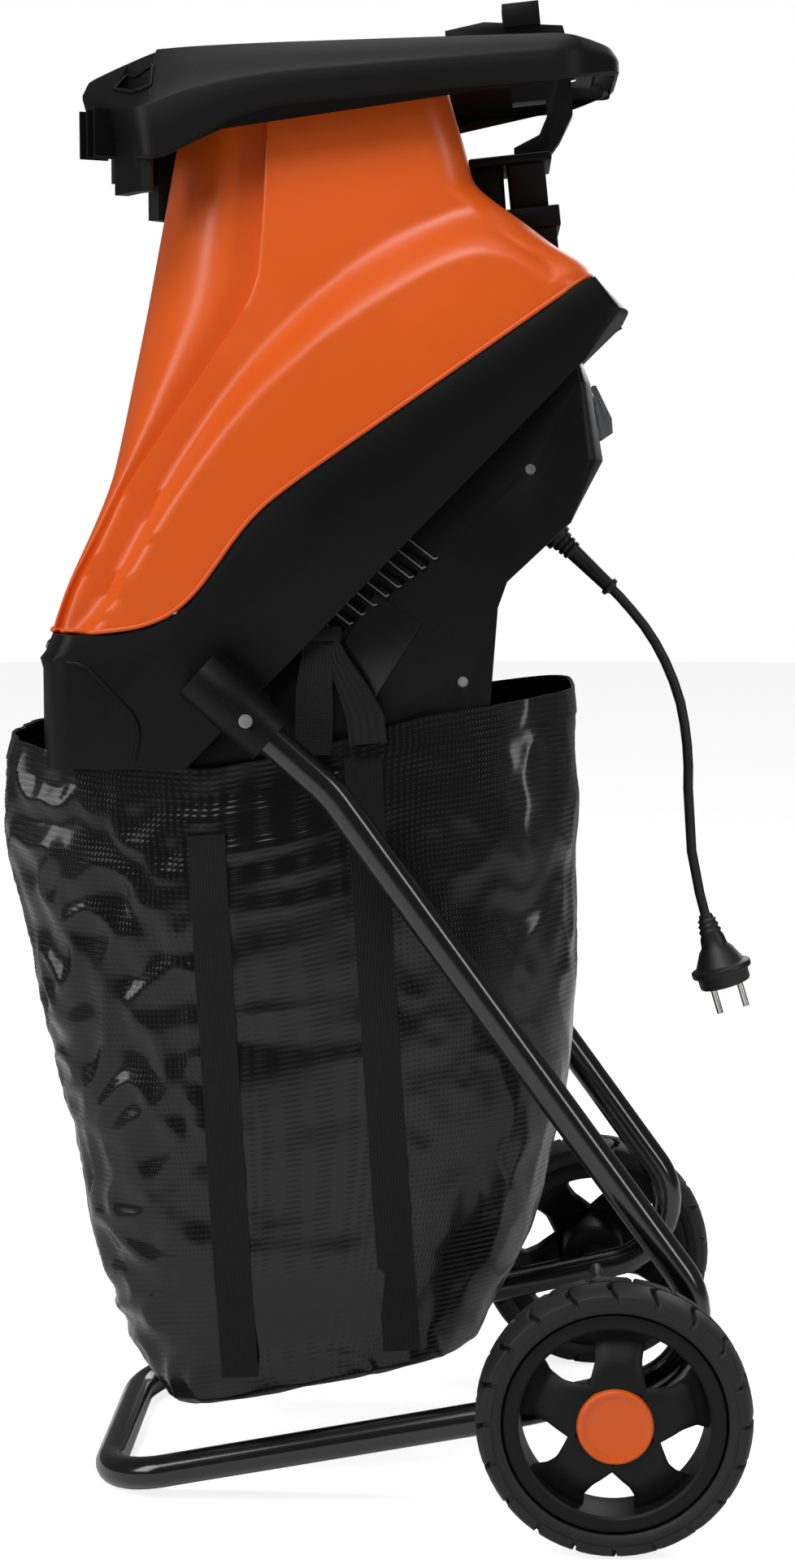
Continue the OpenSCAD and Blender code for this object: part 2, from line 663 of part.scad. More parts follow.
// ======== cutting disc
module knife_disc() {
    color([0.72, 0.72, 0.74]) at_disc() difference() {
        union() {
            cylinder(h = disc_t, d = disc_d, $fn = wheel_fn);
            translate([0, 0, plate_z[1] + 5]) cylinder(h = -plate_z[1] - 5 + eps, r = spindle_d / 2 + 9);
        }
        translate([0, 0, -20]) cylinder(h = 40, d = spindle_d);
        for (a = [0, 180]) rotate([0, 0, a]) {
            // chip slot ahead of each knife
            translate([knife_x, 19, disc_t / 2]) cube([56, 12, 3 * disc_t], center = true);
            for (dx = [-16, 16]) translate([knife_x + dx, 0, -over]) cylinder(h = 20, d = screw_d);
        }
    }
}
module knives() {
    color([0.82, 0.82, 0.84]) at_disc() for (a = [0, 180]) rotate([0, 0, a]) difference() {
        translate([knife_x - 33, 0, disc_t]) rotate([90, 0, 90])
            linear_extrude(height = 66) polygon([[-15, 0], [15, 0], [11, knife_t], [-11, knife_t]]);
        for (dx = [-16, 16]) translate([knife_x + dx, 0, 0]) cylinder(h = 20, d = screw_d);
    }
}
module knife_screws() {
    color("silver") at_disc() for (a = [0, 180], dx = [-16, 16]) rotate([0, 0, a])
        translate([knife_x + dx, 0, -2]) {
            cylinder(h = disc_t + knife_t + 2, d = screw_d);
            translate([0, 0, disc_t + knife_t + 2]) cylinder(h = 2.5, d = screw_head_d);
        }
}
module counter_blade() {
    color([0.8, 0.8, 0.82]) at_disc() difference() {
        block([-90, -14], [throat_w / 2 + 3, throat_w / 2 + 15], [14, 20]);
        for (x = [-76, -28]) translate([x, throat_w / 2 + 9, 0]) cylinder(h = 40, d = screw_d);
    }
    // rail that carries the counter blade off the side of the base
    color([0.8, 0.8, 0.82]) at_disc()
        block([-80, -24], [throat_w / 2 + 15, body_w / 2 - wall], [15, 19]);
}

// ======== hood, tray, throat and hinge
module hood_solid(k) {
    // tower up to the tray
    across(tower_w - 2 * k) offset(delta = -k)
        polygon(concat(hood_foot, reversed(hood_rear), reversed(hood_front)));
    // flare: two steps out to the full width
    for (t = [0, 1]) across(body_w - 2 * k - (1 - t) * (body_w - tower_w) / 2)
        offset(delta = -k) polygon(concat(hood_foot, t == 1 ? skirt_top : flare_top));
}
module hood() {
    color([0.90, 0.30, 0.06]) difference() {
        union() {
            difference() {
                hood_solid(0);
                hood_solid(wall);
                // open foot and top
                across(tower_w - 2 * wall) polygon([[-205, 596], [-176, 560], [-60, 560], [128, 700],
                    [146, 824], [100, 812], [-46, 720], [-140, 640]]);
                across(body_w - 2 * wall) polygon([[-204, 594], [-176, 560], [-60, 560], [128, 700],
                    [143, 821], [90, 796], [-46, 702], [-84, 668], [-106, 637], [-122, 616], [-142, 603],
                    [-176, 598]]);
                across(tower_w - 2 * wall) polygon([[-122, 940], [-122, 980], [50, 980], [50, 940]]);
            }
            // hinge ears
            for (y = [-1, 1]) translate([0, y * hinge_span / 2, 0]) across(ear_t) {
                polygon([[-217, 581], [-207, 581], [-200, 600], [-213, 604]]);
            }
            for (y = [-1, 1]) translate([hinge_at[0], y * hinge_span / 2, hinge_at[1]])
                rotate([90, 0, 0]) cylinder(h = ear_t, r = hinge_d / 2 + 3.5, center = true);
            // boss over the locking screw
            intersection() {
                across(24) polygon([[120, 740], [152, 822], [152, 831], [120, 850]]);
                at_lock() translate([0, 0, 29]) block([-14, 6], [-12, 12], [0, 20]);
            }
        }
        translate([hinge_at[0], 0, hinge_at[1]]) rotate([90, 0, 0])
            cylinder(h = body_w, r = hinge_d / 2 + bearing_gap, center = true);
        at_lock() cylinder(h = lock_l - 10, r = lock_d / 2 + 0.6);
        at_pusher() translate([blade_x, 0, 0]) {
            translate([0, 0, -60]) linear_extrude(height = 90) square([holder_x, holder_y], center = true);
            translate([0, 0, collar_z - 0.2]) linear_extrude(height = 40)
                square([holder_x + collar_out + 0.4, holder_y + collar_out + 0.4], center = true);
        }
    }
}
module hinge_pin() {
    color("silver") translate([hinge_at[0], 0, hinge_at[1]]) rotate([90, 0, 0])
        cylinder(h = hinge_span + 44, d = hinge_d, center = true);
}
module tray_plan(k) {
    w = tray_w / 2 - k;
    polygon([[-194 + k, -0.5 * w], [-152 + k / 2, -w], [136 - k / 2, -w], [167 - k, -0.76 * w],
        [167 - k, 0.76 * w], [136 - k / 2, w], [-152 + k / 2, w], [-194 + k, 0.5 * w]]);
}
module hopper_tray() {
    color([0.06, 0.06, 0.065]) difference() {
        intersection() {
            across(2 * tray_w) polygon(tray_line);
            translate([0, 0, 800]) linear_extrude(height = 300) tray_plan(0);
        }
        difference() {
            intersection() {
                across(2 * tray_w) polygon([[-190, 940], [-182, 956], [-156, 970], [140, 975],
                    [156, 973], [163, 968], [163, 880], [-178, 880]]);
                translate([0, 0, 800]) linear_extrude(height = 300) tray_plan(wall);
            }
            // wall round the rear opening
            block([loop_x[0] - wall, loop_x[1] + wall], [-loop_w / 2 - wall, loop_w / 2 + wall],
                [hood_top + 2, 980]);
            // wall round the front grip
            block([grip_x[0] - wall, grip_x[1] + wall], [-grip_w / 2 - wall, grip_w / 2 + wall],
                [905, 980]);
        }
        block(loop_x, [-loop_w / 2, loop_w / 2], [800, 1000]);
        block(grip_x, [-grip_w / 2, grip_w / 2], [800, 1000]);
        block([mouth_x - mouth_l / 2, mouth_x + mouth_l / 2], [-mouth_w / 2, mouth_w / 2], [900, 1000]);
    }
}
module throat_solid(k, ext) {
    hull() {
        translate([mouth_x, 0, throat_top + ext])
            cube([mouth_l - 2 * k, mouth_w - 2 * k, 0.2], center = true);
        at_disc() translate([throat_x, 0, throat_foot - ext])
            cube([throat_l - 2 * k, throat_w - 2 * k, 0.2], center = true);
    }
}
module feed_throat() {
    color([0.08, 0.08, 0.08]) difference() {
        union() {
            throat_solid(0, 0);
            translate([mouth_x, 0, throat_top - 1]) cube([mouth_l + 8, mouth_w + 8, 2], center = true);
        }
        throat_solid(wall, 0.3);
        translate([mouth_x, 0, throat_top - 1])
            cube([mouth_l - 2 * wall, mouth_w - 2 * wall, 6], center = true);
        at_disc() translate([throat_x, 0, throat_foot - 2])
            cube([throat_l - 2 * wall, throat_w - 2 * wall, 8], center = true);
    }
}

// ======== pusher and its holder
module pusher_holder() {
    color([0.06, 0.06, 0.065]) at_pusher() translate([blade_x, 0, -34]) difference() {
        union() {
            linear_extrude(height = 50) square([holder_x - 0.2, holder_y - 0.2], center = true);
            translate([0, 0, 34 + collar_z]) linear_extrude(height = 14)
                square([holder_x + collar_out, holder_y + collar_out], center = true);
        }
        translate([0, 0, -over]) linear_extrude(height = 60)
            square([blade_t + 2 * blade_gap, blade_w + 2 * blade_gap], center = true);
    }
}
module pusher_body() {
    color([0.05, 0.05, 0.055]) at_pusher() {
        translate([blade_x - blade_t / 2, -blade_w / 2, -pusher_tail]) cube([blade_t, blade_w,
            pusher_tail + flange_z[0]]);
        block([-40, 16], [-46, 46], flange_z);
    }
}
module pusher_grip() {
    color([0.05, 0.05, 0.055]) at_pusher() {
        across(grip_t) polygon([[-8, flange_z[1]], [15, flange_z[1]], [24, 62], [34, 78], [35, 98],
            [35, 126], [33, 138], [-20, 146], [-47, 143], [-47, 136], [-8, 128], [-6, 90], [17, 90],
            [17, 80], [10, 67], [-8, 60]]);
        block([-7, 18], [-grip_t / 2 - 6, grip_t / 2 + 6], [140, 155.5]);
    }
}

// ======== lock
module lock_knob() {
    color([0.08, 0.08, 0.08]) at_lock() difference() {
        translate([0, 0, -7]) union() {
            cylinder(h = 13, r = knob_d / 2 - 2.5);
            for (i = [0 : 7]) rotate([0, 0, 45 * i]) translate([knob_d / 2 - 3, 0, 0])
                cylinder(h = 13, r = 2.6);
        }
        cylinder(h = 30, d = lock_d);
    }
}
module lock_screw() {
    color("silver") at_lock() cylinder(h = lock_l - 12, d = lock_d);
}
module safety_switch() {
    color([0.12, 0.12, 0.12]) at_disc() translate([178, 33, deck_z + 4]) {
        block([-13, 12], [-7, 7], [0, 14]);
        block([-3, 3], [-2, 2], [14, 20]);
    }
}

// ======== switch panel on the rear face
module at_panel() {
    translate([panel_mid[0], 0, panel_mid[1]]) rotate([0, 90 - panel_dir, 0]) children();
}
module switch_box() {
    color([0.1, 0.1, 0.1]) at_panel() difference() {
        block([-20, 20], [-30, 30], [-34, -wall - 0.2]);
        for (s = [-1, 1]) translate([0, s * button_pitch / 2, -16])
            cylinder(h = 30, r = button_d / 2 + button_gap);
    }
}
module push_button() {
    cylinder(h = 10 + button_travel + 0.5, d = button_d);
}
module start_button() {
    color([0.1, 0.55, 0.2]) at_panel() translate([0, -button_pitch / 2, button_base]) push_button();
}
module stop_button() {
    color([0.75, 0.08, 0.06]) at_panel() translate([0, button_pitch / 2, button_base]) push_button();
}
module switch_flap() {
    color([0.45, 0.46, 0.48, 0.6]) at_panel() difference() {
        across(flap_w) polygon([[-22, 1], [-22, 4], [2, 11], [12, 10], [16, 1]]);
        across(flap_w - 4) polygon([[-20, -1], [-20, 2.6], [2, 9], [11, 8], [14, -1]]);
    }
}

// ======== cord, strain relief and plug
module at_gland() {
    translate([gland_at[0], 0, gland_at[1]]) rotate([0, 90 - gland_dir, 0]) children();
}
module strain_relief() {
    color([0.06, 0.06, 0.06]) at_gland() {
        translate([0, 0, -8]) cylinder(h = 8, d = gland_d - 0.4);
        translate([0, 0, 1]) cylinder(h = 5, d = gland_d + 3);
        translate([0, 0, -eps]) cylinder(h = 6, d = gland_d - 2);
        translate([0, 0, 5]) cylinder(h = gland_len - 5, d1 = 14, d2 = cord_d + 3);
        translate([0, 0, gland_len - 4]) cylinder(h = 4, d = cord_d + 7);
    }
}
function tangent(p, i) = let (v = i == 0 ? p[1] - p[0] : i == len(p) - 1 ? p[i] - p[i - 1]
    : p[i + 1] - p[i - 1]) v / norm(v);
function ring_at(p, i, r) = let (t = tangent(p, i), a = cross([0, 1, 0], t))
    [for (k = [0 : cord_sides - 1]) p[i] + r * (cos(360 * k / cord_sides) * a
        + sin(360 * k / cord_sides) * [0, 1, 0])];
module power_cord() {
    n = len(cord_route);
    pts = [for (i = [0 : n - 1]) each ring_at(cord_route, i, cord_d / 2)];
    m = cord_sides;
    faces = concat([[for (k = [0 : m - 1]) k]],
        [for (i = [0 : n - 2], k = [0 : m - 1])
            [i * m + k, (i + 1) * m + k, (i + 1) * m + (k + 1) % m, i * m + (k + 1) % m]],
        [[for (k = [m - 1 : -1 : 0]) (n - 1) * m + k]]);
    color([0.05, 0.05, 0.05]) polyhedron(points = pts, faces = faces);
}
module at_plug() { translate(plug_at) rotate([0, 180 - plug_lean, 0]) children(); }
module plug_body() {
    color([0.06, 0.06, 0.06]) at_plug() difference() {
        union() {
            cylinder(h = 24, d1 = cord_d + 3, d2 = 17);
            translate([0, 0, 24 - eps]) cylinder(h = 16, d1 = 20, d2 = 34);
            translate([0, 0, 40 - 2 * eps]) cylinder(h = 12, d = 37);
            translate([0, 0, 38]) cylinder(h = 5, d = 43);
        }
        for (x = [-1, 1]) translate([x * pin_pitch / 2, 0, plug_len - pin_root_l])
            cylinder(h = pin_root_l + over, d = pin_root_d);
    }
}
module plug_pins() {
    color("silver") at_plug() for (x = [-1, 1]) translate([x * pin_pitch / 2, 0, plug_len]) {
        translate([0, 0, -pin_root_l]) cylinder(h = pin_root_l, d = pin_root_d);
        translate([0, 0, -eps]) cylinder(h = pin_out + eps, d = pin_d);
    }
}

// ======== bag
module bag_line(k) { offset(delta = -k) polygon(concat(bag_front, bag_rear)); }
module collection_bag() {
    color([0.02, 0.02, 0.02]) difference() {
        across(2 * bag_half) bag_line(0);
        across(2 * bag_half - 2 * bag_wall) bag_line(bag_wall);
        // open mouth, between the front and rear walls
        across(2 * bag_half - 2 * bag_wall) polygon([[bag_front[0][0] + 2 * bag_wall, 490],
            [bag_front[0][0] + bag_wall, 600], [140 - bag_wall, 600], [140 - bag_wall, 490]]);
        // rim, lowest where it passes inside the leg sockets
        across(4 * bag_half) polygon(concat([[-300, 516]], bag_rim, [[200, 552], [200, 700], [-300, 700]]));
    }
}
module strap(x_top, z_top, x_low, z_low) {
    a = atan2(x_low - x_top, z_top - z_low);
    translate([x_top, -bag_half - 0.9, z_top]) rotate([0, -a, 0])
        translate([-strap_w / 2, -0.8, -norm([x_low - x_top, z_top - z_low])])
        cube([strap_w, 1.6, norm([x_low - x_top, z_top - z_low])]);
}
module bag_straps() {
    color([0.03, 0.03, 0.03]) both_sides() {
        strap(-104, 470, -86, 75);
        strap(6, 524, 22, 102);
    }
}
module bag_hooks() {
    y = body_w / 2 - housing_inset;
    color([0.06, 0.06, 0.06]) both_sides() translate([hook_at[0], -y, hook_at[1]]) {
        block([-14, 14], [-8, 0], [-3, 1]);
        block([-14, 14], [-8, -5], [1, 7]);
    }
}
module bag_loops() {
    y0 = body_w / 2 - housing_inset + 2;
    color([0.03, 0.03, 0.03]) both_sides() for (s = [-1, 1]) hull() {
        translate([hook_at[0] + s * 4, -y0 - 0.8, hook_at[1] - 5]) cube([8, 1.5, 2], center = true);
        translate([hook_at[0] + 8 + s * 24, -bag_half + bag_wall + 1, 536]) cube([strap_w, 1.5, 2],
            center = true);
    }
}

cutter_base();
motor_housing();
chute_guard();
rating_plate();
leg_socket(-1);  // leg_socket_left
leg_socket(1);  // leg_socket_right
socket_screws();
housing_screws();
leg_tube(-1);  // leg_tube_left
leg_tube(1);  // leg_tube_right
foot_tube();
axle();
axle_spacers();
axle_clips();
stator_core();
field_coils();
motor_frame();
gear_plate();
armature_bearings();
spindle_bearings();
brush_gear();
counter_blade();
safety_switch();
switch_box();
hinge_pin();
collection_bag();
bag_straps();
bag_loops();
bag_hooks();
power_cord();
strain_relief();
plug_body();
plug_pins();
tyre(-1);  // tyre_left
rim(-1);  // rim_left
hub_cap(-1);  // hub_cap_left
tyre(1);  // tyre_right
rim(1);  // rim_right
hub_cap(1);  // hub_cap_right
motor_shaft();
armature_core();
commutator();
cooling_fan();
pinion();
spindle();
drive_gear();
knife_disc();
knives();
knife_screws();
hood();
hopper_tray();
feed_throat();
pusher_holder();
pusher_body();
pusher_grip();
lock_knob();
lock_screw();
switch_flap();
start_button();
stop_button();
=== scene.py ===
# %% [markdown]
# # A garden shredder, piece by piece
# This lesson dresses a working model of an electric garden shredder: an orange hood with a black hopper
# tray, a black cutter base, a bent tube frame on two wheels and a woven bag. The machine's inner parts come
# from the engineering model and only get a finish. The covers, wheels, bag, cord and pusher are shaped here.

# %% The frame
import math

import bpy
import numpy as np
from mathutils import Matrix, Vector, noise
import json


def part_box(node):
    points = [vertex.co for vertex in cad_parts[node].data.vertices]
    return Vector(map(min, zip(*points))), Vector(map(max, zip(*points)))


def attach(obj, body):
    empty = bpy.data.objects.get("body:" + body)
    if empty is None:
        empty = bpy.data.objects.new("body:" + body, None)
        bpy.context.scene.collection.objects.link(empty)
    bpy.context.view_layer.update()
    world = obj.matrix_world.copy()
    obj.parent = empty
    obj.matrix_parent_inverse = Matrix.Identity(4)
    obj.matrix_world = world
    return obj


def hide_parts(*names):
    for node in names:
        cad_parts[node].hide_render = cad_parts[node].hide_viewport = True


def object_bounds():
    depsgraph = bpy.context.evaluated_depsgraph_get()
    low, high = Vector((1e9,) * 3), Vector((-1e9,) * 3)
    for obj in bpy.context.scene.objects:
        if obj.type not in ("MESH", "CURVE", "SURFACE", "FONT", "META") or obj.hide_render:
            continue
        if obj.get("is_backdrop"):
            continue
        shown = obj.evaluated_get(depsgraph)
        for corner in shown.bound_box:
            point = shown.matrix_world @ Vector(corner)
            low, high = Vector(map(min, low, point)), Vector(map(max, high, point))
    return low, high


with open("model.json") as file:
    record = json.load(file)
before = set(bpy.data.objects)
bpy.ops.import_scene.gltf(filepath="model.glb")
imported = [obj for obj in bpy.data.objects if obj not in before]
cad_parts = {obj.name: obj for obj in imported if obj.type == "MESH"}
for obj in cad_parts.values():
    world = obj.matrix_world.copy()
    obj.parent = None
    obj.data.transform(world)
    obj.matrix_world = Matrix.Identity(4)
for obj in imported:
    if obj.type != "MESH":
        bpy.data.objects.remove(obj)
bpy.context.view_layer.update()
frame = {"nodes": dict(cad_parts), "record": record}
body_of = {node: body for body, nodes in frame["record"]["behaviour"]["bodies"].items() for node in nodes}
mm = 0.001

# %% [markdown]
# ## The camera
# The machine is looked at from its left side, level with the hood and a little down, through a long lens as
# a catalogue would. The camera stands about two metres off.

# %% Camera
camera = bpy.data.objects.new("camera", bpy.data.cameras.new("camera"))
bpy.context.scene.collection.objects.link(camera)
camera.location = (0.0893, -1.9565, 0.6904)
camera.rotation_euler = (math.radians(83.86), 0, math.radians(2.069))
camera.data.lens = 64.04
camera.data.sensor_width = 36
bpy.context.scene.camera = camera

# %% [markdown]
# ## Floor and light
# A pale studio: a wide matt floor and an even sky, which look bright to the camera but give little light.
# A large soft box stands on the left, and one high in front lights the sloping band of the hood. A narrow one
# on the right draws thin highlights along the tubes. One hangs overhead, and one behind picks out the edges.

# %% Floor, sky and soft boxes
def soft_box(name, place, target, size, power):
    """A rectangular lamp at place that faces target."""
    bpy.ops.object.light_add(type="AREA", location=place)
    lamp = bpy.context.object
    lamp.name = name
    lamp.data.shape = "RECTANGLE"
    lamp.data.size, lamp.data.size_y = size
    lamp.data.energy = power
    lamp.rotation_euler = (Vector(target) - Vector(place)).to_track_quat("-Z", "Y").to_euler()


middle = (0, 0, 0.55)
soft_box("key_light", (-2.1, -1.3, 1.5), middle, (1.0, 1.5), 26)
soft_box("high_light", (-0.5, -1.6, 2.7), (0, 0, 0.7), (1.5, 1.1), 44)
soft_box("side_light", (1.9, -1.3, 1.3), middle, (0.35, 1.8), 13)
soft_box("top_light", (0.1, 0.2, 2.6), middle, (1.4, 1.2), 16)
soft_box("back_light", (0.9, 2.0, 1.5), middle, (1.2, 1.0), 16)

sky_light, sky_seen, floor_glow = 0.12, 1.0, 0.82
world = bpy.data.worlds.new("sky")
bpy.context.scene.world = world
world.use_nodes = True
sky = world.node_tree.nodes["Background"]
sky.inputs["Color"].default_value = (1, 1, 1, 1)
seen = world.node_tree.nodes.new("ShaderNodeLightPath")
level = world.node_tree.nodes.new("ShaderNodeMapRange")
level.inputs["To Min"].default_value = sky_light
level.inputs["To Max"].default_value = sky_seen
world.node_tree.links.new(seen.outputs["Is Camera Ray"], level.inputs["Value"])
world.node_tree.links.new(level.outputs["Result"], sky.inputs["Strength"])
bpy.context.scene.view_settings.view_transform = "Standard"

bpy.ops.mesh.primitive_circle_add(vertices=64, radius=9, fill_type="NGON")
floor = bpy.context.object
floor.name = "studio_floor"
floor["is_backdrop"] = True


# %% [markdown]
# ## Helpers for modelling
# A new piece starts with nothing selected. It is then shaped in edit mode, or by moving the points of a
# grid by a formula where the form is a smooth sculpted shell that no single operator gives.

# %% Selection, naming and modifiers
def clear():
    """Leaves edit mode and selects nothing."""
    if bpy.context.object and bpy.context.object.mode != "OBJECT":
        bpy.ops.object.mode_set(mode="OBJECT")
    bpy.ops.object.select_all(action="DESELECT")


def pick(piece):
    """Makes one piece the selected and active one."""
    clear()
    piece.select_set(True)
    bpy.context.view_layer.objects.active = piece
    return piece


def named(name):
    """Names the piece that was just added."""
    piece = bpy.context.object
    piece.name = piece.data.name = name
    return piece


def modify(piece, kind, **settings):
    """Adds a modifier, sets it and applies it."""
    pick(piece)
    bpy.ops.object.modifier_add(type=kind)
    modifier = piece.modifiers[-1]
    for setting, value in settings.items():
        setattr(modifier, setting, value)
    bpy.ops.object.modifier_apply(modifier=modifier.name)
    return piece


def all_faces(piece):
    """Enters edit mode with every face selected."""
    pick(piece)
    bpy.ops.object.mode_set(mode="EDIT")
    bpy.ops.mesh.select_all(action="SELECT")


def closed_up(piece, distance=1e-5):
    """Merges doubled points and turns the faces outwards."""
    all_faces(piece)
    bpy.ops.mesh.remove_doubles(threshold=distance)
    bpy.ops.mesh.normals_make_consistent(inside=False)
    bpy.ops.object.mode_set(mode="OBJECT")
    return piece


def smooth(piece, angle=40):
    """Smooth shading, kept sharp at edges over the angle in degrees."""
    pick(piece)
    bpy.ops.object.shade_smooth_by_angle(angle=math.radians(angle))
    return piece


def placed(piece, location=(0, 0, 0), turn=(0, 0, 0)):
    """Turns and moves a piece, then puts its place in its mesh."""
    pick(piece)
    piece.location = location
    piece.rotation_euler = [math.radians(a) for a in turn]
    bpy.ops.object.transform_apply(location=True, rotation=True, scale=True)
    return piece


def joined(name, pieces):
    """Joins pieces into one."""
    clear()
    for piece in pieces:
        piece.select_set(True)
    bpy.context.view_layer.objects.active = pieces[0]
    bpy.ops.object.join()
    return named(name)


def from_points(name, points, edges=(), faces=()):
    """A new mesh from a few points, ready to be extruded or spun."""
    mesh = bpy.data.meshes.new(name)
    mesh.from_pydata([tuple(p) for p in points], list(edges), list(faces))
    piece = bpy.data.objects.new(name, mesh)
    bpy.context.scene.collection.objects.link(piece)
    return pick(piece)


def slab(name, outline, near, far):
    """An outline of (x, z) points, extruded from y = near to y = far."""
    piece = from_points(name, [(x, near, z) for x, z in outline], faces=[range(len(outline))])
    all_faces(piece)
    bpy.ops.mesh.extrude_region_move(TRANSFORM_OT_translate={"value": (0, far - near, 0)})
    return closed_up(piece)


def turned(name, profile, steps=96):
    """A profile of (radius, height) points, spun round the Z axis."""
    count = len(profile)
    piece = from_points(name, [(r, 0, h) for r, h in profile], edges=[(i, i + 1) for i in range(count - 1)])
    all_faces(piece)
    bpy.ops.mesh.spin(steps=steps, angle=2 * math.pi, center=(0, 0, 0), axis=(0, 0, 1))
    return closed_up(piece)


def tube(name, route, radius, rings=12, closed=False):
    """A round tube along a list of points, made as a curve and then a mesh."""
    clear()
    curve = bpy.data.curves.new(name, "CURVE")
    curve.dimensions = "3D"
    curve.bevel_depth = radius
    curve.bevel_resolution = rings // 2 - 2
    curve.use_fill_caps = not closed
    spline = curve.splines.new("POLY")
    spline.points.add(len(route) - 1)
    for point, place in zip(spline.points, route):
        point.co = (*place, 1)
    spline.use_cyclic_u = closed
    piece = bpy.data.objects.new(name, curve)
    bpy.context.scene.collection.objects.link(piece)
    pick(piece)
    bpy.ops.object.convert(target="MESH")
    return closed_up(named(name))


def shaped_grid(name, across, along, place):
    """A grid of across by along faces, whose point (u, v), each from 0 to 1, goes to place(u, v)."""
    clear()
    bpy.ops.mesh.primitive_grid_add(x_subdivisions=across, y_subdivisions=along, size=1)
    piece = named(name)
    flat = np.zeros(len(piece.data.vertices) * 3)
    piece.data.vertices.foreach_get("co", flat)
    flat = flat.reshape(-1, 3)
    points = np.stack(place(flat[:, 0] + 0.5, flat[:, 1] + 0.5), axis=1)
    piece.data.vertices.foreach_set("co", points.ravel())
    piece.data.update()
    return piece


def cut_out(piece, cutter):
    """Cuts one closed piece with another, which is then removed."""
    modify(piece, "BOOLEAN", operation="DIFFERENCE", object=cutter, solver="EXACT")
    bpy.data.objects.remove(cutter)
    return piece


def box_cutter(low, high):
    """A plain block that only serves as a cutter."""
    x, y, z = zip(low, high)
    return slab("cutter", [(x[0], z[0]), (x[1], z[0]), (x[1], z[1]), (x[0], z[1])], y[0], y[1])


def eased(t):
    """Goes smoothly from 0 to 1 as t does."""
    t = np.clip(t, 0, 1)
    return t * t * (3 - 2 * t)


def bend(before, here, after, radius, steps):
    """The points of the arc that rounds the corner at here."""
    back, on = (before - here).normalized(), (after - here).normalized()
    half = back.angle(on) / 2
    centre = here + (back + on).normalized() * radius / math.sin(half)
    start, end = (here + way * radius / math.tan(half) - centre for way in (back, on))
    return [centre + start.lerp(end, k / steps).normalized() * radius for k in range(steps + 1)]


def uv_in_metres(piece, size):
    """Stretches a grid's UV map from the unit square to its size in metres of cloth."""
    layer = piece.data.uv_layers[0].data
    uv = np.zeros(len(layer) * 2)
    layer.foreach_get("uv", uv)
    layer.foreach_set("uv", (uv.reshape(-1, 2) * size).ravel())


# %% [markdown]
# ## Covers taken from the engineering model
# Moulded covers and castings already have the right shape, but their edges are razor sharp. A copy of such
# a part is welded, its flat faces are made whole again and its edges get the small radius that a mould
# leaves. The copy then stands for the part.

# %% Softening a part's edges
def stand_for(piece, material, slot, *nodes):
    """The piece takes the place of these parts, on the same body and with this material; the slot is not
    used.
    """
    piece.data.materials.clear()
    piece.data.materials.append(material)
    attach(piece, body_of[nodes[0]])
    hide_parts(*nodes)
    return piece


def belongs(piece, material, body):
    """A piece that the engineering model leaves out rides on a body."""
    piece.data.materials.clear()
    piece.data.materials.append(material)
    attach(piece, body)
    return piece


def welded_copy(node, name):
    """A copy of a part's mesh, welded, with its flat faces made whole."""
    clear()
    piece = frame["nodes"][node].copy()
    piece.data = piece.data.copy()
    for key in list(piece.keys()):
        del piece[key]
    bpy.context.scene.collection.objects.link(piece)
    piece.parent = None
    pick(piece)
    piece.name = piece.data.name = name
    all_faces(piece)
    bpy.ops.mesh.remove_doubles(threshold=2e-5)
    bpy.ops.mesh.dissolve_limited(angle_limit=math.radians(0.5))
    bpy.ops.object.mode_set(mode="OBJECT")
    return piece


def soft_edged(piece, radius):
    """Rounds every edge that is sharper than 32 degrees."""
    modify(piece, "BEVEL", width=radius, segments=2, limit_method="ANGLE", angle_limit=math.radians(32),
           harden_normals=False, use_clamp_overlap=True)
    return smooth(piece, 38)


def softened(node, name, radius, material, slot):
    """A part's copy with soft edges, standing for the part."""
    piece = soft_edged(welded_copy(node, name), radius)
    print(f"{name}: {len(piece.data.polygons)} faces")
    return stand_for(piece, material, slot, node)


# %% [markdown]
# ## Finishes
# Every finish is a small network: a base colour that drifts a little from place to place, a roughness that
# is never quite even, and a fine relief for the grain that the mould, the weave or the grinder left. All of
# it reads the piece's own coordinates, so it stays put when a part moves.

# %% A general surface finish
def wire(tree, source, target):
    tree.links.new(source, target)


def add_node(tree, kind, **values):
    """A new shader node with these values in its sockets."""
    made = tree.nodes.new("ShaderNode" + kind)
    for socket, value in values.items():
        made.inputs[socket.replace("_", " ")].default_value = value
    return made


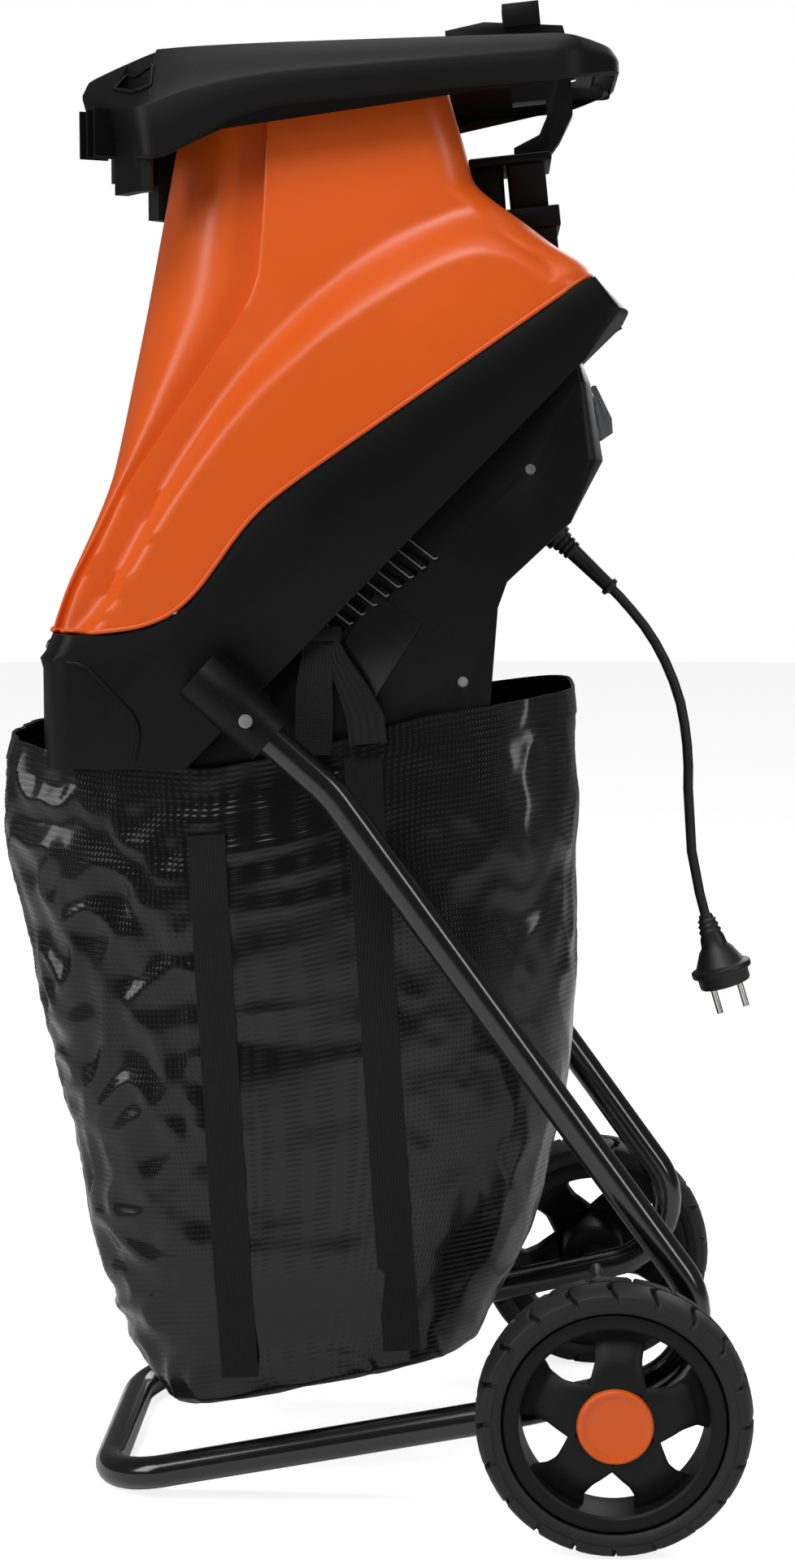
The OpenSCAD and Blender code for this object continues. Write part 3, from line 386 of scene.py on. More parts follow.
def finish(name, dark, light, rough, grain=900, relief=0.15, drift=6, metal=0.0, coat=0.0, **sockets):
    """A surface whose colour drifts from dark to light and whose roughness stays in a range."""
    material = bpy.data.materials.new(name)
    material.use_nodes = True
    tree = material.node_tree
    shader = tree.nodes["Principled BSDF"]
    place = tree.nodes.new("ShaderNodeTexCoord").outputs["Object"]
    broad = add_node(tree, "TexNoise", Scale=drift, Detail=4)
    wire(tree, place, broad.inputs["Vector"])
    colours = tree.nodes.new("ShaderNodeValToRGB")
    colours.color_ramp.elements[0].position = 0.3
    colours.color_ramp.elements[1].position = 0.7
    colours.color_ramp.elements[0].color = (*dark, 1)
    colours.color_ramp.elements[1].color = (*light, 1)
    wire(tree, broad.outputs["Fac"], colours.inputs["Fac"])
    wire(tree, colours.outputs["Color"], shader.inputs["Base Color"])
    fine = add_node(tree, "TexNoise", Scale=grain, Detail=3)
    wire(tree, place, fine.inputs["Vector"])
    spread = add_node(tree, "MapRange", From_Min=0.3, From_Max=0.7, To_Min=rough[0], To_Max=rough[1])
    wire(tree, broad.outputs["Fac"], spread.inputs["Value"])
    wire(tree, spread.outputs["Result"], shader.inputs["Roughness"])
    bump = add_node(tree, "Bump", Strength=relief, Distance=0.0003)
    wire(tree, fine.outputs["Fac"], bump.inputs["Height"])
    wire(tree, bump.outputs["Normal"], shader.inputs["Normal"])
    shader.inputs["Metallic"].default_value = metal
    shader.inputs["Coat Weight"].default_value = coat
    shader.inputs["Coat Roughness"].default_value = 0.15
    for socket, value in sockets.items():
        shader.inputs[socket.replace("_", " ").title().replace("Ior", "IOR")].default_value = value
    return material


orange_plastic = finish("orange_plastic", (0.60, 0.078, 0.0015), (0.66, 0.090, 0.0020), (0.34, 0.42),
                        grain=1400, relief=0.10)
black_plastic = finish("black_plastic", (0.0022, 0.0022, 0.0024), (0.0040, 0.0040, 0.0043), (0.36, 0.48),
                       grain=1500, relief=0.35, specular_ior_level=0.16)
satin_plastic = finish("satin_plastic", (0.0040, 0.0040, 0.0042), (0.0068, 0.0068, 0.0072), (0.40, 0.52),
                       grain=1100, relief=0.25, specular_ior_level=0.18)
frame_paint = finish("frame_paint", (0.0020, 0.0020, 0.0020), (0.0035, 0.0035, 0.0036), (0.14, 0.20),
                     grain=500, relief=0.12, coat=0.5)
tyre_rubber = finish("tyre_rubber", (0.0060, 0.0060, 0.0060), (0.0105, 0.0105, 0.0102), (0.52, 0.68),
                     grain=700, relief=0.35, drift=20, specular_ior_level=0.4)
zinc_steel = finish("zinc_steel", (0.50, 0.50, 0.51), (0.66, 0.66, 0.67), (0.22, 0.36), metal=1.0,
                    grain=600, relief=0.2, drift=40)
ground_steel = finish("ground_steel", (0.56, 0.56, 0.57), (0.66, 0.66, 0.67), (0.14, 0.24), metal=1.0,
                      grain=1600, relief=0.12, drift=30)
core_steel = finish("core_steel", (0.20, 0.20, 0.21), (0.30, 0.30, 0.31), (0.35, 0.5), metal=1.0, grain=900,
                    relief=0.5, drift=30)
copper_wire = finish("copper_wire", (0.55, 0.22, 0.08), (0.72, 0.34, 0.15), (0.25, 0.4), metal=1.0,
                     grain=1200, relief=0.6, drift=50)
brass = finish("brass", (0.62, 0.44, 0.16), (0.74, 0.55, 0.24), (0.22, 0.35), metal=1.0, drift=40)
cast_alloy = finish("cast_alloy", (0.45, 0.45, 0.46), (0.58, 0.58, 0.60), (0.40, 0.55), metal=1.0,
                    grain=500, relief=0.5, drift=25)
cord_rubber = finish("cord_rubber", (0.0045, 0.0045, 0.0045), (0.0080, 0.0080, 0.0083), (0.40, 0.52),
                     grain=900, relief=0.2, drift=30, specular_ior_level=0.4)
nickel = finish("nickel", (0.60, 0.59, 0.56), (0.72, 0.71, 0.68), (0.12, 0.22), metal=1.0, drift=60)
label_film = finish("label_film", (0.0016, 0.0016, 0.0018), (0.0026, 0.0026, 0.0028), (0.20, 0.26),
                    relief=0.05)
smoky_clear = finish("smoky_clear", (0.36, 0.38, 0.40), (0.44, 0.46, 0.48), (0.18, 0.28), relief=0.05,
                     transmission_weight=0.75, ior=1.49)
green_plastic = finish("green_plastic", (0.03, 0.32, 0.09), (0.05, 0.40, 0.12), (0.3, 0.4), drift=50)
red_plastic = finish("red_plastic", (0.50, 0.03, 0.02), (0.62, 0.05, 0.04), (0.3, 0.4), drift=50)
floor_paint = finish("floor_paint", (0.80, 0.80, 0.80), (0.83, 0.83, 0.83), (0.8, 0.9), grain=40, relief=0.02,
                     drift=0.5)
floor_shader = floor_paint.node_tree.nodes["Principled BSDF"]
floor_shader.inputs["Emission Color"].default_value = (1, 1, 1, 1)
glow = add_node(floor_paint.node_tree, "MapRange", To_Min=0.0, To_Max=floor_glow)
looked_at = floor_paint.node_tree.nodes.new("ShaderNodeLightPath")
wire(floor_paint.node_tree, looked_at.outputs["Is Camera Ray"], glow.inputs["Value"])
wire(floor_paint.node_tree, glow.outputs["Result"], floor_shader.inputs["Emission Strength"])
floor.data.materials.append(floor_paint)
print(len(bpy.data.materials), "finishes")


# %% [markdown]
# ## Woven tarp and webbing
# The bag is polyethylene tape woven flat and laminated, so it shines and shows a fine grid of raised tapes.
# The straps are ribbed webbing. Both patterns follow the cloth, so they read the piece's own UV map, which
# is laid out in metres of cloth.

# %% Cloth finishes
def wave(tree, place, scale, direction):
    """A band pattern of so many waves to the metre."""
    node = add_node(tree, "TexWave", Scale=scale, Distortion=0.6, Detail=1)
    node.bands_direction = direction
    wire(tree, place, node.inputs["Vector"])
    return node.outputs["Fac"]


def creases(tree, scale):
    """Sharp little creases, as in stiff film that was crumpled once."""
    folds = add_node(tree, "TexNoise", Scale=scale, Detail=2, Distortion=0.4)
    folds.noise_type = "RIDGED_MULTIFRACTAL"
    wire(tree, tree.nodes.new("ShaderNodeTexCoord").outputs["Object"], folds.inputs["Vector"])
    return folds.outputs["Fac"]


def cloth(name, dark, light, rough, tapes, relief, coat, crumple=0.0):
    """A woven cloth with so many tapes to the metre each way, perhaps crumpled."""
    material = finish(name, dark, light, rough, relief=0.0, coat=coat, specular_ior_level=0.2)
    tree = material.node_tree
    shader = tree.nodes["Principled BSDF"]
    place = tree.nodes.new("ShaderNodeTexCoord").outputs["UV"]
    heights = [wave(tree, place, scale / 3.14, direction) for scale, direction in zip(tapes, "XY")]
    weave = tree.nodes.new("ShaderNodeMath")
    weave.operation = "MULTIPLY"
    wire(tree, heights[0], weave.inputs[0])
    wire(tree, heights[1], weave.inputs[1])
    woven = bump = add_node(tree, "Bump", Strength=relief, Distance=0.0006)
    wire(tree, weave.outputs["Value"], woven.inputs["Height"])
    for scale, share in ((11, 1.0), (34, 0.5)):
        crease = add_node(tree, "Bump", Strength=crumple * share, Distance=0.06 / scale)
        wire(tree, creases(tree, scale), crease.inputs["Height"])
        wire(tree, crease.outputs["Normal"], bump.inputs["Normal"])
        bump = crease
    wire(tree, woven.outputs["Normal"], shader.inputs["Normal"])
    return material


woven_tarp = cloth("woven_tarp", (0.0014, 0.0014, 0.0016), (0.0026, 0.0026, 0.0029), (0.20, 0.32), (330, 240),
                   0.55, 0.5, crumple=0.35)
webbing = cloth("webbing", (0.0040, 0.0040, 0.0040), (0.0070, 0.0070, 0.0070), (0.6, 0.75), (500, 900), 0.9,
                0.0)

# %% [markdown]
# ## The cord
# The machine has a short lead that ends in a plug of its own, which hangs from the strain relief: straight
# out, then down under its own weight. A cord is a round section swept along one smooth line, so the curve's
# line is the cord.

# %% The lead
cord_line = [(0.169, 0, 0.617), (0.174, 0, 0.612), (0.182, 0, 0.603), (0.191, 0, 0.592), (0.199, 0, 0.580),
             (0.206, 0, 0.567), (0.212, 0, 0.553), (0.217, 0, 0.538), (0.220, 0, 0.523), (0.222, 0, 0.508),
             (0.223, 0, 0.493), (0.223, 0, 0.478), (0.224, 0, 0.463), (0.225, 0, 0.448), (0.226, 0, 0.433),
             (0.229, 0, 0.418), (0.232, 0, 0.403), (0.236, 0, 0.388)]
cord_thickness = 0.007
lead = tube("lead", cord_line, cord_thickness / 2, rings=16)
smooth(lead, 60)
stand_for(lead, cord_rubber, "cord_rubber", "power_cord")

# %% [markdown]
# ## Strain relief
# The rubber sleeve that keeps the lead from kinking. It is a long cone with rings cut in its thick end and
# one raised ring near its tip. A profile spun round an axis gives it.

# %% Ribbed sleeve
gland_low, gland_high = Vector((0.128, 0, 0.656)), Vector((0.169, 0, 0.617))
gland_length = (gland_high - gland_low).length
gland_turn = 90 + math.degrees(math.atan2(gland_low.z - gland_high.z, gland_high.x - gland_low.x))


def sleeve_profile():
    """Half of the sleeve's section: a flange, three ribs, a cone and a ring."""
    points = [(0.0, -8), (8.3, -8), (8.3, 0.5), (10, 0.8), (10, 5.4), (7.4, 6)]
    for rib in range(3):
        foot = 7 + 4.2 * rib
        points += [(7.9 - 0.4 * rib, foot), (7.9 - 0.4 * rib, foot + 2.4), (6.4 - 0.3 * rib, foot + 2.8),
                   (6.4 - 0.3 * rib, foot + 4)]
    end = gland_length / mm
    points += [(5.0, end - 5), (6.8, end - 4.4), (6.8, end - 1.6), (4.6, end - 1), (4.0, end), (0, end)]
    return [(r * mm, h * mm) for r, h in points]


sleeve = soft_edged(turned("cord_sleeve", sleeve_profile(), 40), 0.0004)
placed(sleeve, gland_low, (0, gland_turn, 0))
stand_for(sleeve, cord_rubber, "cord_rubber", "strain_relief")

# %% [markdown]
# ## The plug
# A two-pin contour plug: a ribbed grip that swells into a broad flanged face, moulded in one piece round the
# pins. It is spun, and then its sides are flattened a little, as the real one is held between two fingers.

# %% Plug body
plug_at, plug_lean = (0.236, 0, 0.388), 17
plug_profile = [(0, 0), (4.8, 0), (5.2, 3), (7.0, 4), (5.8, 6), (7.6, 8), (6.4, 10), (8.2, 12), (7.2, 14),
                (8.6, 17), (9.4, 23), (12, 26), (17.6, 37), (21.3, 38.2), (21.5, 40), (21.3, 42.6),
                (18.4, 43.2), (18.2, 50.5), (17.4, 51.9), (0, 52)]
plug = turned("plug_moulding", [(r * mm, h * mm) for r, h in plug_profile], 48)
for vertex in plug.data.vertices:
    squeeze = 0.80 + 0.20 * float(eased((vertex.co.z - 0.016) / 0.020))
    vertex.co.y *= squeeze
soft_edged(plug, 0.0005)
placed(plug, plug_at, (0, 180 - plug_lean, 0))
stand_for(plug, cord_rubber, "cord_rubber", "plug_body")


# %% [markdown]
# ## The hood
# One large orange moulding. Its front is a rounded column, its side steps out at a fine groove, then flares
# through a long sloping band to the full width of the cutter base. Six lines describe it: the front and rear
# outline, the groove, the lower edge, and the band's upper and lower edges. A grid is wrapped round those
# lines, so the soft transitions come from the formula and not from hundreds of hand-placed points.

# %% The hood's lines, in millimetres
hood_front = [(588, -215), (620, -204), (660, -188), (688, -178), (750, -166), (809, -154), (912, -134),
              (955, -126)]
hood_rear = [(580, 149), (832, 149), (846, 125), (864, 103), (882, 78), (890, 71), (908, 67), (930, 60),
             (955, 53)]
groove = [(588, -205), (620, -194), (650, -178), (688, -160), (748, -119), (804, -81), (825, -72), (870, -68),
          (955, -64)]
split = [(-230, 591.6), (-176, 591.6), (-140, 596.6), (-114, 611.6), (-96, 637.6), (-74, 668.6),
         (-46, 690.6), (140, 819.6), (160, 833)]
band_top = [(-215, 575), (-172, 604), (-133, 688), (-79, 768), (-25, 820), (17, 850), (60, 866), (78, 873),
            (103, 860), (125, 842), (160, 818)]
band_foot = [(-215, 560), (-178, 598), (-149, 648), (-114, 700), (-75, 748), (-25, 792), (29, 826), (60, 843),
             (90, 848), (125, 828), (160, 800)]
hood_top = 955
tower_half, skirt_half = 99, 125
step_out, groove_fall = 5.5, 8


def along_line(line, at):
    """Reads a line of (position, value) points at a position."""
    positions, values = zip(*line)
    return np.interp(at, positions, values)


def rounded_line(line, at, reach=5):
    """The same with its corners eased over a short reach."""
    return sum(along_line(line, at + reach * k) for k in (-2, -1, 0, 1, 2)) / 5


# %% A section through the hood
front_share, step_share, side_share, corner_share = 0.36, 0.40, 0.80, 0.90


def side_width(x, z):
    """Half the width at a place on the side: the tower, the band and the skirt."""
    top, foot = rounded_line(band_top, x, 9) + 5, rounded_line(band_foot, x, 9) - 9
    tower = tower_half + 4 * (hood_top - z) / 300
    down = np.clip((top - z) / np.maximum(top - foot, 1), 0, 1)
    return tower + (skirt_half - tower) * eased(down)


def hood_section(u, z):
    """The point (x, y) at share u of the way from the front middle to the rear middle."""
    front, rear = rounded_line(hood_front, z), rounded_line(hood_rear, z, 2)
    edge = rounded_line(groove, z, 4)
    edge = np.maximum(edge, front + 6)
    start = edge + 2.5
    outer = side_width(start, z)
    inner = outer - step_out
    square = 1 - 0.42 * eased((700 - z) / 90)
    turn = np.clip(u / front_share, 0, 1) * math.pi / 2
    x_front = edge - (edge - front) * np.cos(turn) ** square
    y_front = inner * np.sin(turn) ** square - groove_fall * eased((u / front_share - 0.66) / 0.34)
    step = np.clip((u - front_share) / (step_share - front_share), 0, 1)
    y_step = inner - groove_fall + (step_out + groove_fall + 1.2 * np.sin(math.pi * step)) * eased(step)
    bend = np.minimum(26, (rear - start) / 3)
    flat = np.clip((u - step_share) / (side_share - step_share), 0, 1)
    x_side = start + (rear - bend - start) * flat
    corner_width = side_width(rear - bend, z)
    round_off = np.clip((u - side_share) / (corner_share - side_share), 0, 1) * math.pi / 2
    x_corner = rear - bend + bend * np.sin(round_off)
    y_corner = corner_width - bend + bend * np.cos(round_off)
    across = np.clip((u - corner_share) / (1 - corner_share), 0, 1)
    x = np.select([u < front_share, u < step_share, u < side_share, u < corner_share],
                  [x_front, edge + 2.5 * step, x_side, x_corner], rear)
    y = np.select([u < front_share, u < step_share, u < side_share, u < corner_share],
                  [y_front, y_step, side_width(x_side, z), y_corner], (corner_width - bend) * (1 - across))
    return x, y


def split_height(u):
    """How high the hood's lower edge is at share u, found by halving."""
    low, high = np.full_like(u, 585.0), np.full_like(u, hood_top)
    for _ in range(30):
        half = (low + high) / 2
        x, _y = hood_section(u, half)
        above = half > rounded_line(split, x, 6)
        high = np.where(above, half, high)
        low = np.where(above, low, half)
    return high


def hood_place(u, v):
    """Where the hood's outer skin is: u round the near half, v up from its lower edge."""
    foot = split_height(u)
    z = foot + (hood_top - foot) * v
    x, y = hood_section(u, z)
    return x * mm, -y * mm, z * mm


# %% The hood's skin and wall
hood_wall = 0.003
hood_skin = shaped_grid("hood_shell", 150, 110, hood_place)
modify(hood_skin, "MIRROR", use_axis=(False, True, False), use_mirror_merge=True, merge_threshold=1e-5)
closed_up(hood_skin)
modify(hood_skin, "SOLIDIFY", thickness=hood_wall, offset=-1)
smooth(hood_skin, 50)
stand_for(hood_skin, orange_plastic, "orange_shell", "hood")
print("hood:", len(hood_skin.data.polygons), "faces")

# %% [markdown]
# The hood's lower edge is rolled outwards into a fine bead, which catches the light as a thin bright line.
# A thin tube along the same edge gives it.

# %% The bead along the hood's edge
steps = np.linspace(0.02, 1, 180)
bead_x, bead_y, bead_z = hood_place(steps, np.zeros_like(steps))
near_side = list(zip(bead_x, bead_y - 0.0002, bead_z + 0.0012))
far_side = [(x, -y, z) for x, y, z in reversed(near_side)]
bead = tube("hood_bead", near_side + far_side[1:], 0.0016, rings=8)
smooth(bead, 60)
belongs(bead, orange_plastic, "hopper")


# %% [markdown]
# ## The hopper tray
# A black tray closes the top of the hood: a drooping beak in front, a chamfered rim that thins towards the
# rear, and a skirt whose lower edge sweeps up. It is a solid stacked from rings that follow one plan
# outline. The inside, the mouth and the two hand openings are then cut out of it.

# %% Plan outline of the tray, in millimetres
tray_corners = [((167, 92), 24), ((136, 128), 30), ((-150, 128), 26), ((-193, 62), 24)]
tray_corners += [((x, -y), r) for (x, y), r in reversed(tray_corners)]
tray_points = 320


def rounded_outline(corners, count):
    """Evenly spaced points round a closed polygon with an arc at every corner."""
    path = []
    for i, (corner, radius) in enumerate(corners):
        path += bend(Vector(corners[i - 1][0]), Vector(corner), Vector(corners[(i + 1) % len(corners)][0]),
                     radius, 8)
    path.append(path[0])
    path = np.array(path)
    gone = np.concatenate([[0], np.cumsum(np.linalg.norm(np.diff(path, axis=0), axis=1))])
    even = np.linspace(0, gone[-1], count, endpoint=False)
    return np.stack([np.interp(even, gone, path[:, k]) for k in (0, 1)], axis=1)


def drawn_in(outline, distance):
    """The outline moved inwards by a distance, which may differ from point to point."""
    along = np.roll(outline, -1, axis=0) - np.roll(outline, 1, axis=0)
    along /= np.linalg.norm(along, axis=1)[:, None]
    inward = np.stack([-along[:, 1], along[:, 0]], axis=1)
    return outline + inward * np.reshape(distance, (-1, 1))


# %% Heights along the tray
tray_top = [(-194, 956), (-186, 962), (-160, 972), (-108, 974), (29, 977), (127, 979), (150, 978), (167, 974)]
tray_crease = [(-194, 950), (-176, 941), (-150, 932), (-135, 936), (-118, 943), (-84, 951), (-50, 956),
               (29, 962), (127, 969), (150, 969), (167, 966)]
tray_skirt = [(-194, 914), (-180, 906), (-160, 899.5), (-128, 900), (-106, 912), (-84, 925), (-56, 933),
              (54, 943), (120, 948), (145, 951), (167, 957)]
far_lift = 10  # how much higher the far side's skirt is at both ends, so that it stays out of sight
beak_lean = 15


def tray_rings(wall):
    """The rings of the tray's outside, or of its hollow when a wall is given."""
    outline = drawn_in(rounded_outline(tray_corners, tray_points), wall)
    x = outline[:, 0]
    top, crease, skirt = (rounded_line(line, x, 4) for line in (tray_top, tray_crease, tray_skirt))
    drop = top - crease
    ends = np.maximum(eased((x - 45) / 25), eased((-95 - x) / 30))
    skirt = skirt + far_lift * eased(outline[:, 1] / 60) * ends
    rings = []
    for inset, height in ((2.2, skirt), (0, skirt + 2.2), (0, skirt + 0.5 * (crease - skirt)),
                          (0, crease - 2), (0.8, crease + 0.6), (0.75 * drop - 1, top - 1.4),
                          (0.75 * drop + 1.2, top)):
        ring = drawn_in(outline, inset)
        lean = beak_lean * eased((-120 - x) / 60) * np.clip((955 - height) / 55, 0, 1)
        rings.append(np.stack([ring[:, 0] + lean, ring[:, 1], height - wall], axis=1))
    if wall:
        rings[0][:, 2] = rings[1][:, 2] = 860
    else:
        inner = drawn_in(outline, 0.75 * drop + 5)
        rings.append(np.stack([inner[:, 0], inner[:, 1], top - 0.4], axis=1))
        inner = drawn_in(outline, 0.75 * drop + 8)
        rings.append(np.stack([inner[:, 0], inner[:, 1], top - 3.2], axis=1))
    return np.array(rings) * mm


def stacked(name, rings):
    """A closed solid from rings of points, lowest first."""
    count = rings.shape[1]
    faces = [(r * count + i, r * count + (i + 1) % count, (r + 1) * count + (i + 1) % count,
              (r + 1) * count + i) for r in range(len(rings) - 1) for i in range(count)]
    faces += [range(count)[::-1], range((len(rings) - 1) * count, len(rings) * count)]
    return closed_up(from_points(name, rings.reshape(-1, 3), faces=faces))


# %% Cutting the tray
tray_wall = 3
loop_low, loop_high = (0.059, -0.062, 0.90), (0.142, 0.062, 1.0)
grip_low, grip_high = (-0.176, -0.055, 0.90), (-0.148, 0.055, 1.0)
corner_slot = [(-137, 119.5), (-144, 118), (-150, 112), (-165, 89), (-157, 84), (-145, 103), (-140, 108),
               (-137, 108.5)]
corner_slots = [corner_slot, [(x, -y) for x, y in reversed(corner_slot)]]
mouth_low, mouth_high = (-0.109, -0.088, 0.90), (0.041, 0.088, 1.0)


def round_cutter(low, high, radius):
    """A cutter with round upright edges."""
    cutter = box_cutter(low, high)
    all_faces(cutter)
    bpy.ops.mesh.select_all(action="DESELECT")
    bpy.ops.object.mode_set(mode="OBJECT")
    for edge in cutter.data.edges:
        a, b = (cutter.data.vertices[i].co for i in edge.vertices)
        edge.select = abs(a.z - b.z) > 0.01
    bpy.ops.object.mode_set(mode="EDIT")
    bpy.ops.mesh.bevel(offset=radius, segments=5, affect="EDGES")
    bpy.ops.object.mode_set(mode="OBJECT")
    return cutter


def grown(low, high, by):
    """A box's corners, moved out sideways."""
    return (low[0] - by, low[1] - by, low[2]), (high[0] + by, high[1] + by, high[2])


def upright(name, plan, low, high):
    """A plan outline in millimetres, extruded from one height to another in metres."""
    piece = from_points(name, [(x * mm, y * mm, low) for x, y in plan], faces=[range(len(plan))])
    all_faces(piece)
    bpy.ops.mesh.extrude_region_move(TRANSFORM_OT_translate={"value": (0, 0, high - low)})
    return closed_up(piece)


def grown_plan(plan, by):
    """A plan outline moved outwards."""
    return drawn_in(np.array(plan, float), -by if turns_left(plan) else by)


def turns_left(plan):
    """Whether the outline runs anticlockwise."""
    return sum(ax * by - bx * ay for (ax, ay), (bx, by) in zip(plan, plan[1:] + plan[:1])) > 0


tray = stacked("hopper_tray_moulding", tray_rings(0))
core = stacked("tray_core", tray_rings(tray_wall))
loop_core_low = (loop_low[0], loop_low[1], 0.961)
cut_out(core, round_cutter(*grown(loop_core_low, loop_high, 0.003), 0.014))
cut_out(core, round_cutter(*grown((grip_low[0], grip_low[1], 0.925), grip_high, 0.003), 0.009))
for plan in corner_slots:
    cut_out(core, upright("cutter", grown_plan(plan, 2.5), 0.930, 1.0))
cut_out(tray, core)
for low, high in ((loop_low, loop_high), (mouth_low, mouth_high), (grip_low, grip_high)):
    cut_out(tray, round_cutter(low, high, 0.008))
for plan in corner_slots:
    cut_out(tray, upright("cutter", plan, 0.88, 1.0))
slot_at = [(-181, -72), (-175, -82), (-169, -91)]
for x, y in slot_at + [(x, -y) for x, y in slot_at]:
    cutter = box_cutter((-0.010, -0.0011, 0.905), (0.010, 0.0011, 0.936))
    cut_out(tray, placed(cutter, (x * mm, y * mm, 0), (0, 0, math.copysign(33, -y))))
smooth(tray, 30)
stand_for(tray, black_plastic, "black_shell", "hopper_tray")
print("tray:", len(tray.data.polygons), "faces")

# %% [markdown]
# The mouth, the rear hand opening and both corner slots have a rolled lip, so that they don't bite the
# fingers. The lip is a thin tube that follows the edge of the opening.

# %% Lips round the openings
def box_plan(low, high):
    """The corners of a box in plan, in millimetres."""
    return [(high[0] / mm, high[1] / mm), (low[0] / mm, high[1] / mm), (low[0] / mm, low[1] / mm),
            (high[0] / mm, low[1] / mm)]


def lip_round(name, plan, radius, line):
    """A rolled lip that follows an opening over the tray's surface."""
    outline = rounded_outline([(corner, radius) for corner in plan], 200)
    height = tray_surface(outline[:, 0], outline[:, 1])
    lip = tube(name, np.column_stack([outline, height]) * mm, line, rings=8, closed=True)
    smooth(lip, 60)
    return belongs(lip, black_plastic, "hopper")


def tray_surface(x, y):
    """The height of the tray's top at (x, y), in millimetres, chamfer included."""
    top, crease = along_line(tray_top, x), along_line(tray_crease, x)
    outline = rounded_outline(tray_corners, tray_points)
    gap = np.min(np.hypot(x[:, None] - outline[None, :, 0], y[:, None] - outline[None, :, 1]), axis=1)
    width = 0.75 * (top - crease)
    chamfer = crease + (top - crease) * np.clip(gap / width, 0, 1)
    return np.where(gap > width + 6, top - 3.2, chamfer)


lip_round("loop_lip", box_plan(loop_low, loop_high), 8, 0.0014)
for side, plan in zip(("left", "right"), reversed(corner_slots)):
    lip_round(f"corner_lip_{side}", plan, 1.2, 0.0013)
lip_round("mouth_lip", box_plan(mouth_low, mouth_high), 8, 0.0014)

# %% [markdown]
# ## Wheels
# Solid tyres with two rows of chunky lugs, and a moulded rim with five dished spokes. One lug and one spoke
# are shaped, then copied round. The lug starts as a cube that is subdivided and bent round the tyre.

# %% One lug
lug_count = 20
tyre_radius, lug_root = 0.0899, 0.0825
lug_turn, lug_skew = math.radians(16.6), math.radians(5.5)


def lug_piece(name, side, start):
    """One lug of the row on one side of the tread, at an angle."""
    clear()
    bpy.ops.mesh.primitive_cube_add(size=1)
    bpy.ops.object.mode_set(mode="EDIT")
    bpy.ops.mesh.subdivide(number_cuts=2)
    bpy.ops.object.mode_set(mode="OBJECT")
    lug = named(name)
    for vertex in lug.data.vertices:
        around, out, along = vertex.co.x, vertex.co.y + 0.5, vertex.co.z + 0.5
        width = 1 - 0.07 * out
        axial = 0.0012 + 0.0203 * along - 0.0012 * out * along
        crown = tyre_radius - 0.0040 * along ** 3
        radius = lug_root - 0.003 * along + (crown - lug_root + 0.003 * along) * out
        angle = start + lug_turn * width * around + lug_skew * (0.5 - abs(along - 0.45)) * 1.2
        vertex.co = (radius * math.cos(angle), radius * math.sin(angle), side * axial)
    lug.data.update()
    return lug


# %% Tyre
def tyre_mesh(name):
    """A tyre round the Z axis: a carcass and two rows of lugs."""
    carcass = [(73.2, -14), (73.4, -17.5), (76, -19.6), (80, -20.4), (83, -19), (84.6, -15), (85, 0),
               (84.6, 15), (83, 19), (80, 20.4), (76, 19.6), (73.4, 17.5), (73.2, 14), (73.2, -14)]
    parts = [turned("carcass", [(r * mm, h * mm) for r, h in carcass], 120)]
    for side in (-1, 1):
        for i in range(lug_count):
            start = 2 * math.pi * (i + (0.5 if side > 0 else 0)) / lug_count
            parts.append(lug_piece("lug", side, start))
    tyre = closed_up(joined(name, parts))
    modify(tyre, "BEVEL", width=0.0007, segments=2, limit_method="ANGLE", angle_limit=math.radians(50))
    return smooth(tyre, 35)


# %% Rim with dished spokes
spoke_count = 5
spoke_half = [(0, 17), (0.2, 14.5), (0.42, 12), (0.7, 14), (0.88, 19), (1, 25)]
spoke_height = [(0, 14.5), (0.25, 14.2), (0.42, 12), (0.72, 3), (1, -1)]
rim_profile = [(60.4, -16), (62, -17), (73.1, -17), (73.1, 12), (72.4, 15.0), (71.6, 16.8), (69.5, 17.4),
               (63.5, 17.0), (61.8, 15.6), (61.2, 12), (60.4, 0), (60.4, -16)]
hub_profile = [(5.06, -24), (22, -24), (23.4, -22), (24, -10), (24.6, 10), (27.6, 13.4), (27.9, 15.6),
               (27.2, 17.2), (25.8, 17.2), (25.3, 16), (5.06, 16), (5.06, -24)]


def spoke_place(u, v):
    """A spoke's front face, from the hub to the rim."""
    half, height = rounded_line(spoke_half, v, 0.02), rounded_line(spoke_height, v, 0.03)
    across = 2 * u - 1
    radius = 21 + 41.5 * v
    fall = 2.2 * np.abs(across) ** 6
    return radius * mm, across * half * mm, (height - fall) * mm


def rim_mesh(name):
    """Barrel, hub and five spokes round the Z axis."""
    parts = [turned("barrel", [(r * mm, h * mm) for r, h in rim_profile], 120),
             turned("hub", [(r * mm, h * mm) for r, h in hub_profile], 64)]
    for i in range(spoke_count):
        spoke = shaped_grid("spoke", 12, 24, spoke_place)
        modify(spoke, "SOLIDIFY", thickness=0.006, offset=-1)
        parts.append(placed(spoke, turn=(0, 0, 87 + 360 / spoke_count * i)))
    rim = joined(name, parts)
    modify(rim, "BEVEL", width=0.0006, segments=2, limit_method="ANGLE", angle_limit=math.radians(50))
    return smooth(rim, 35)


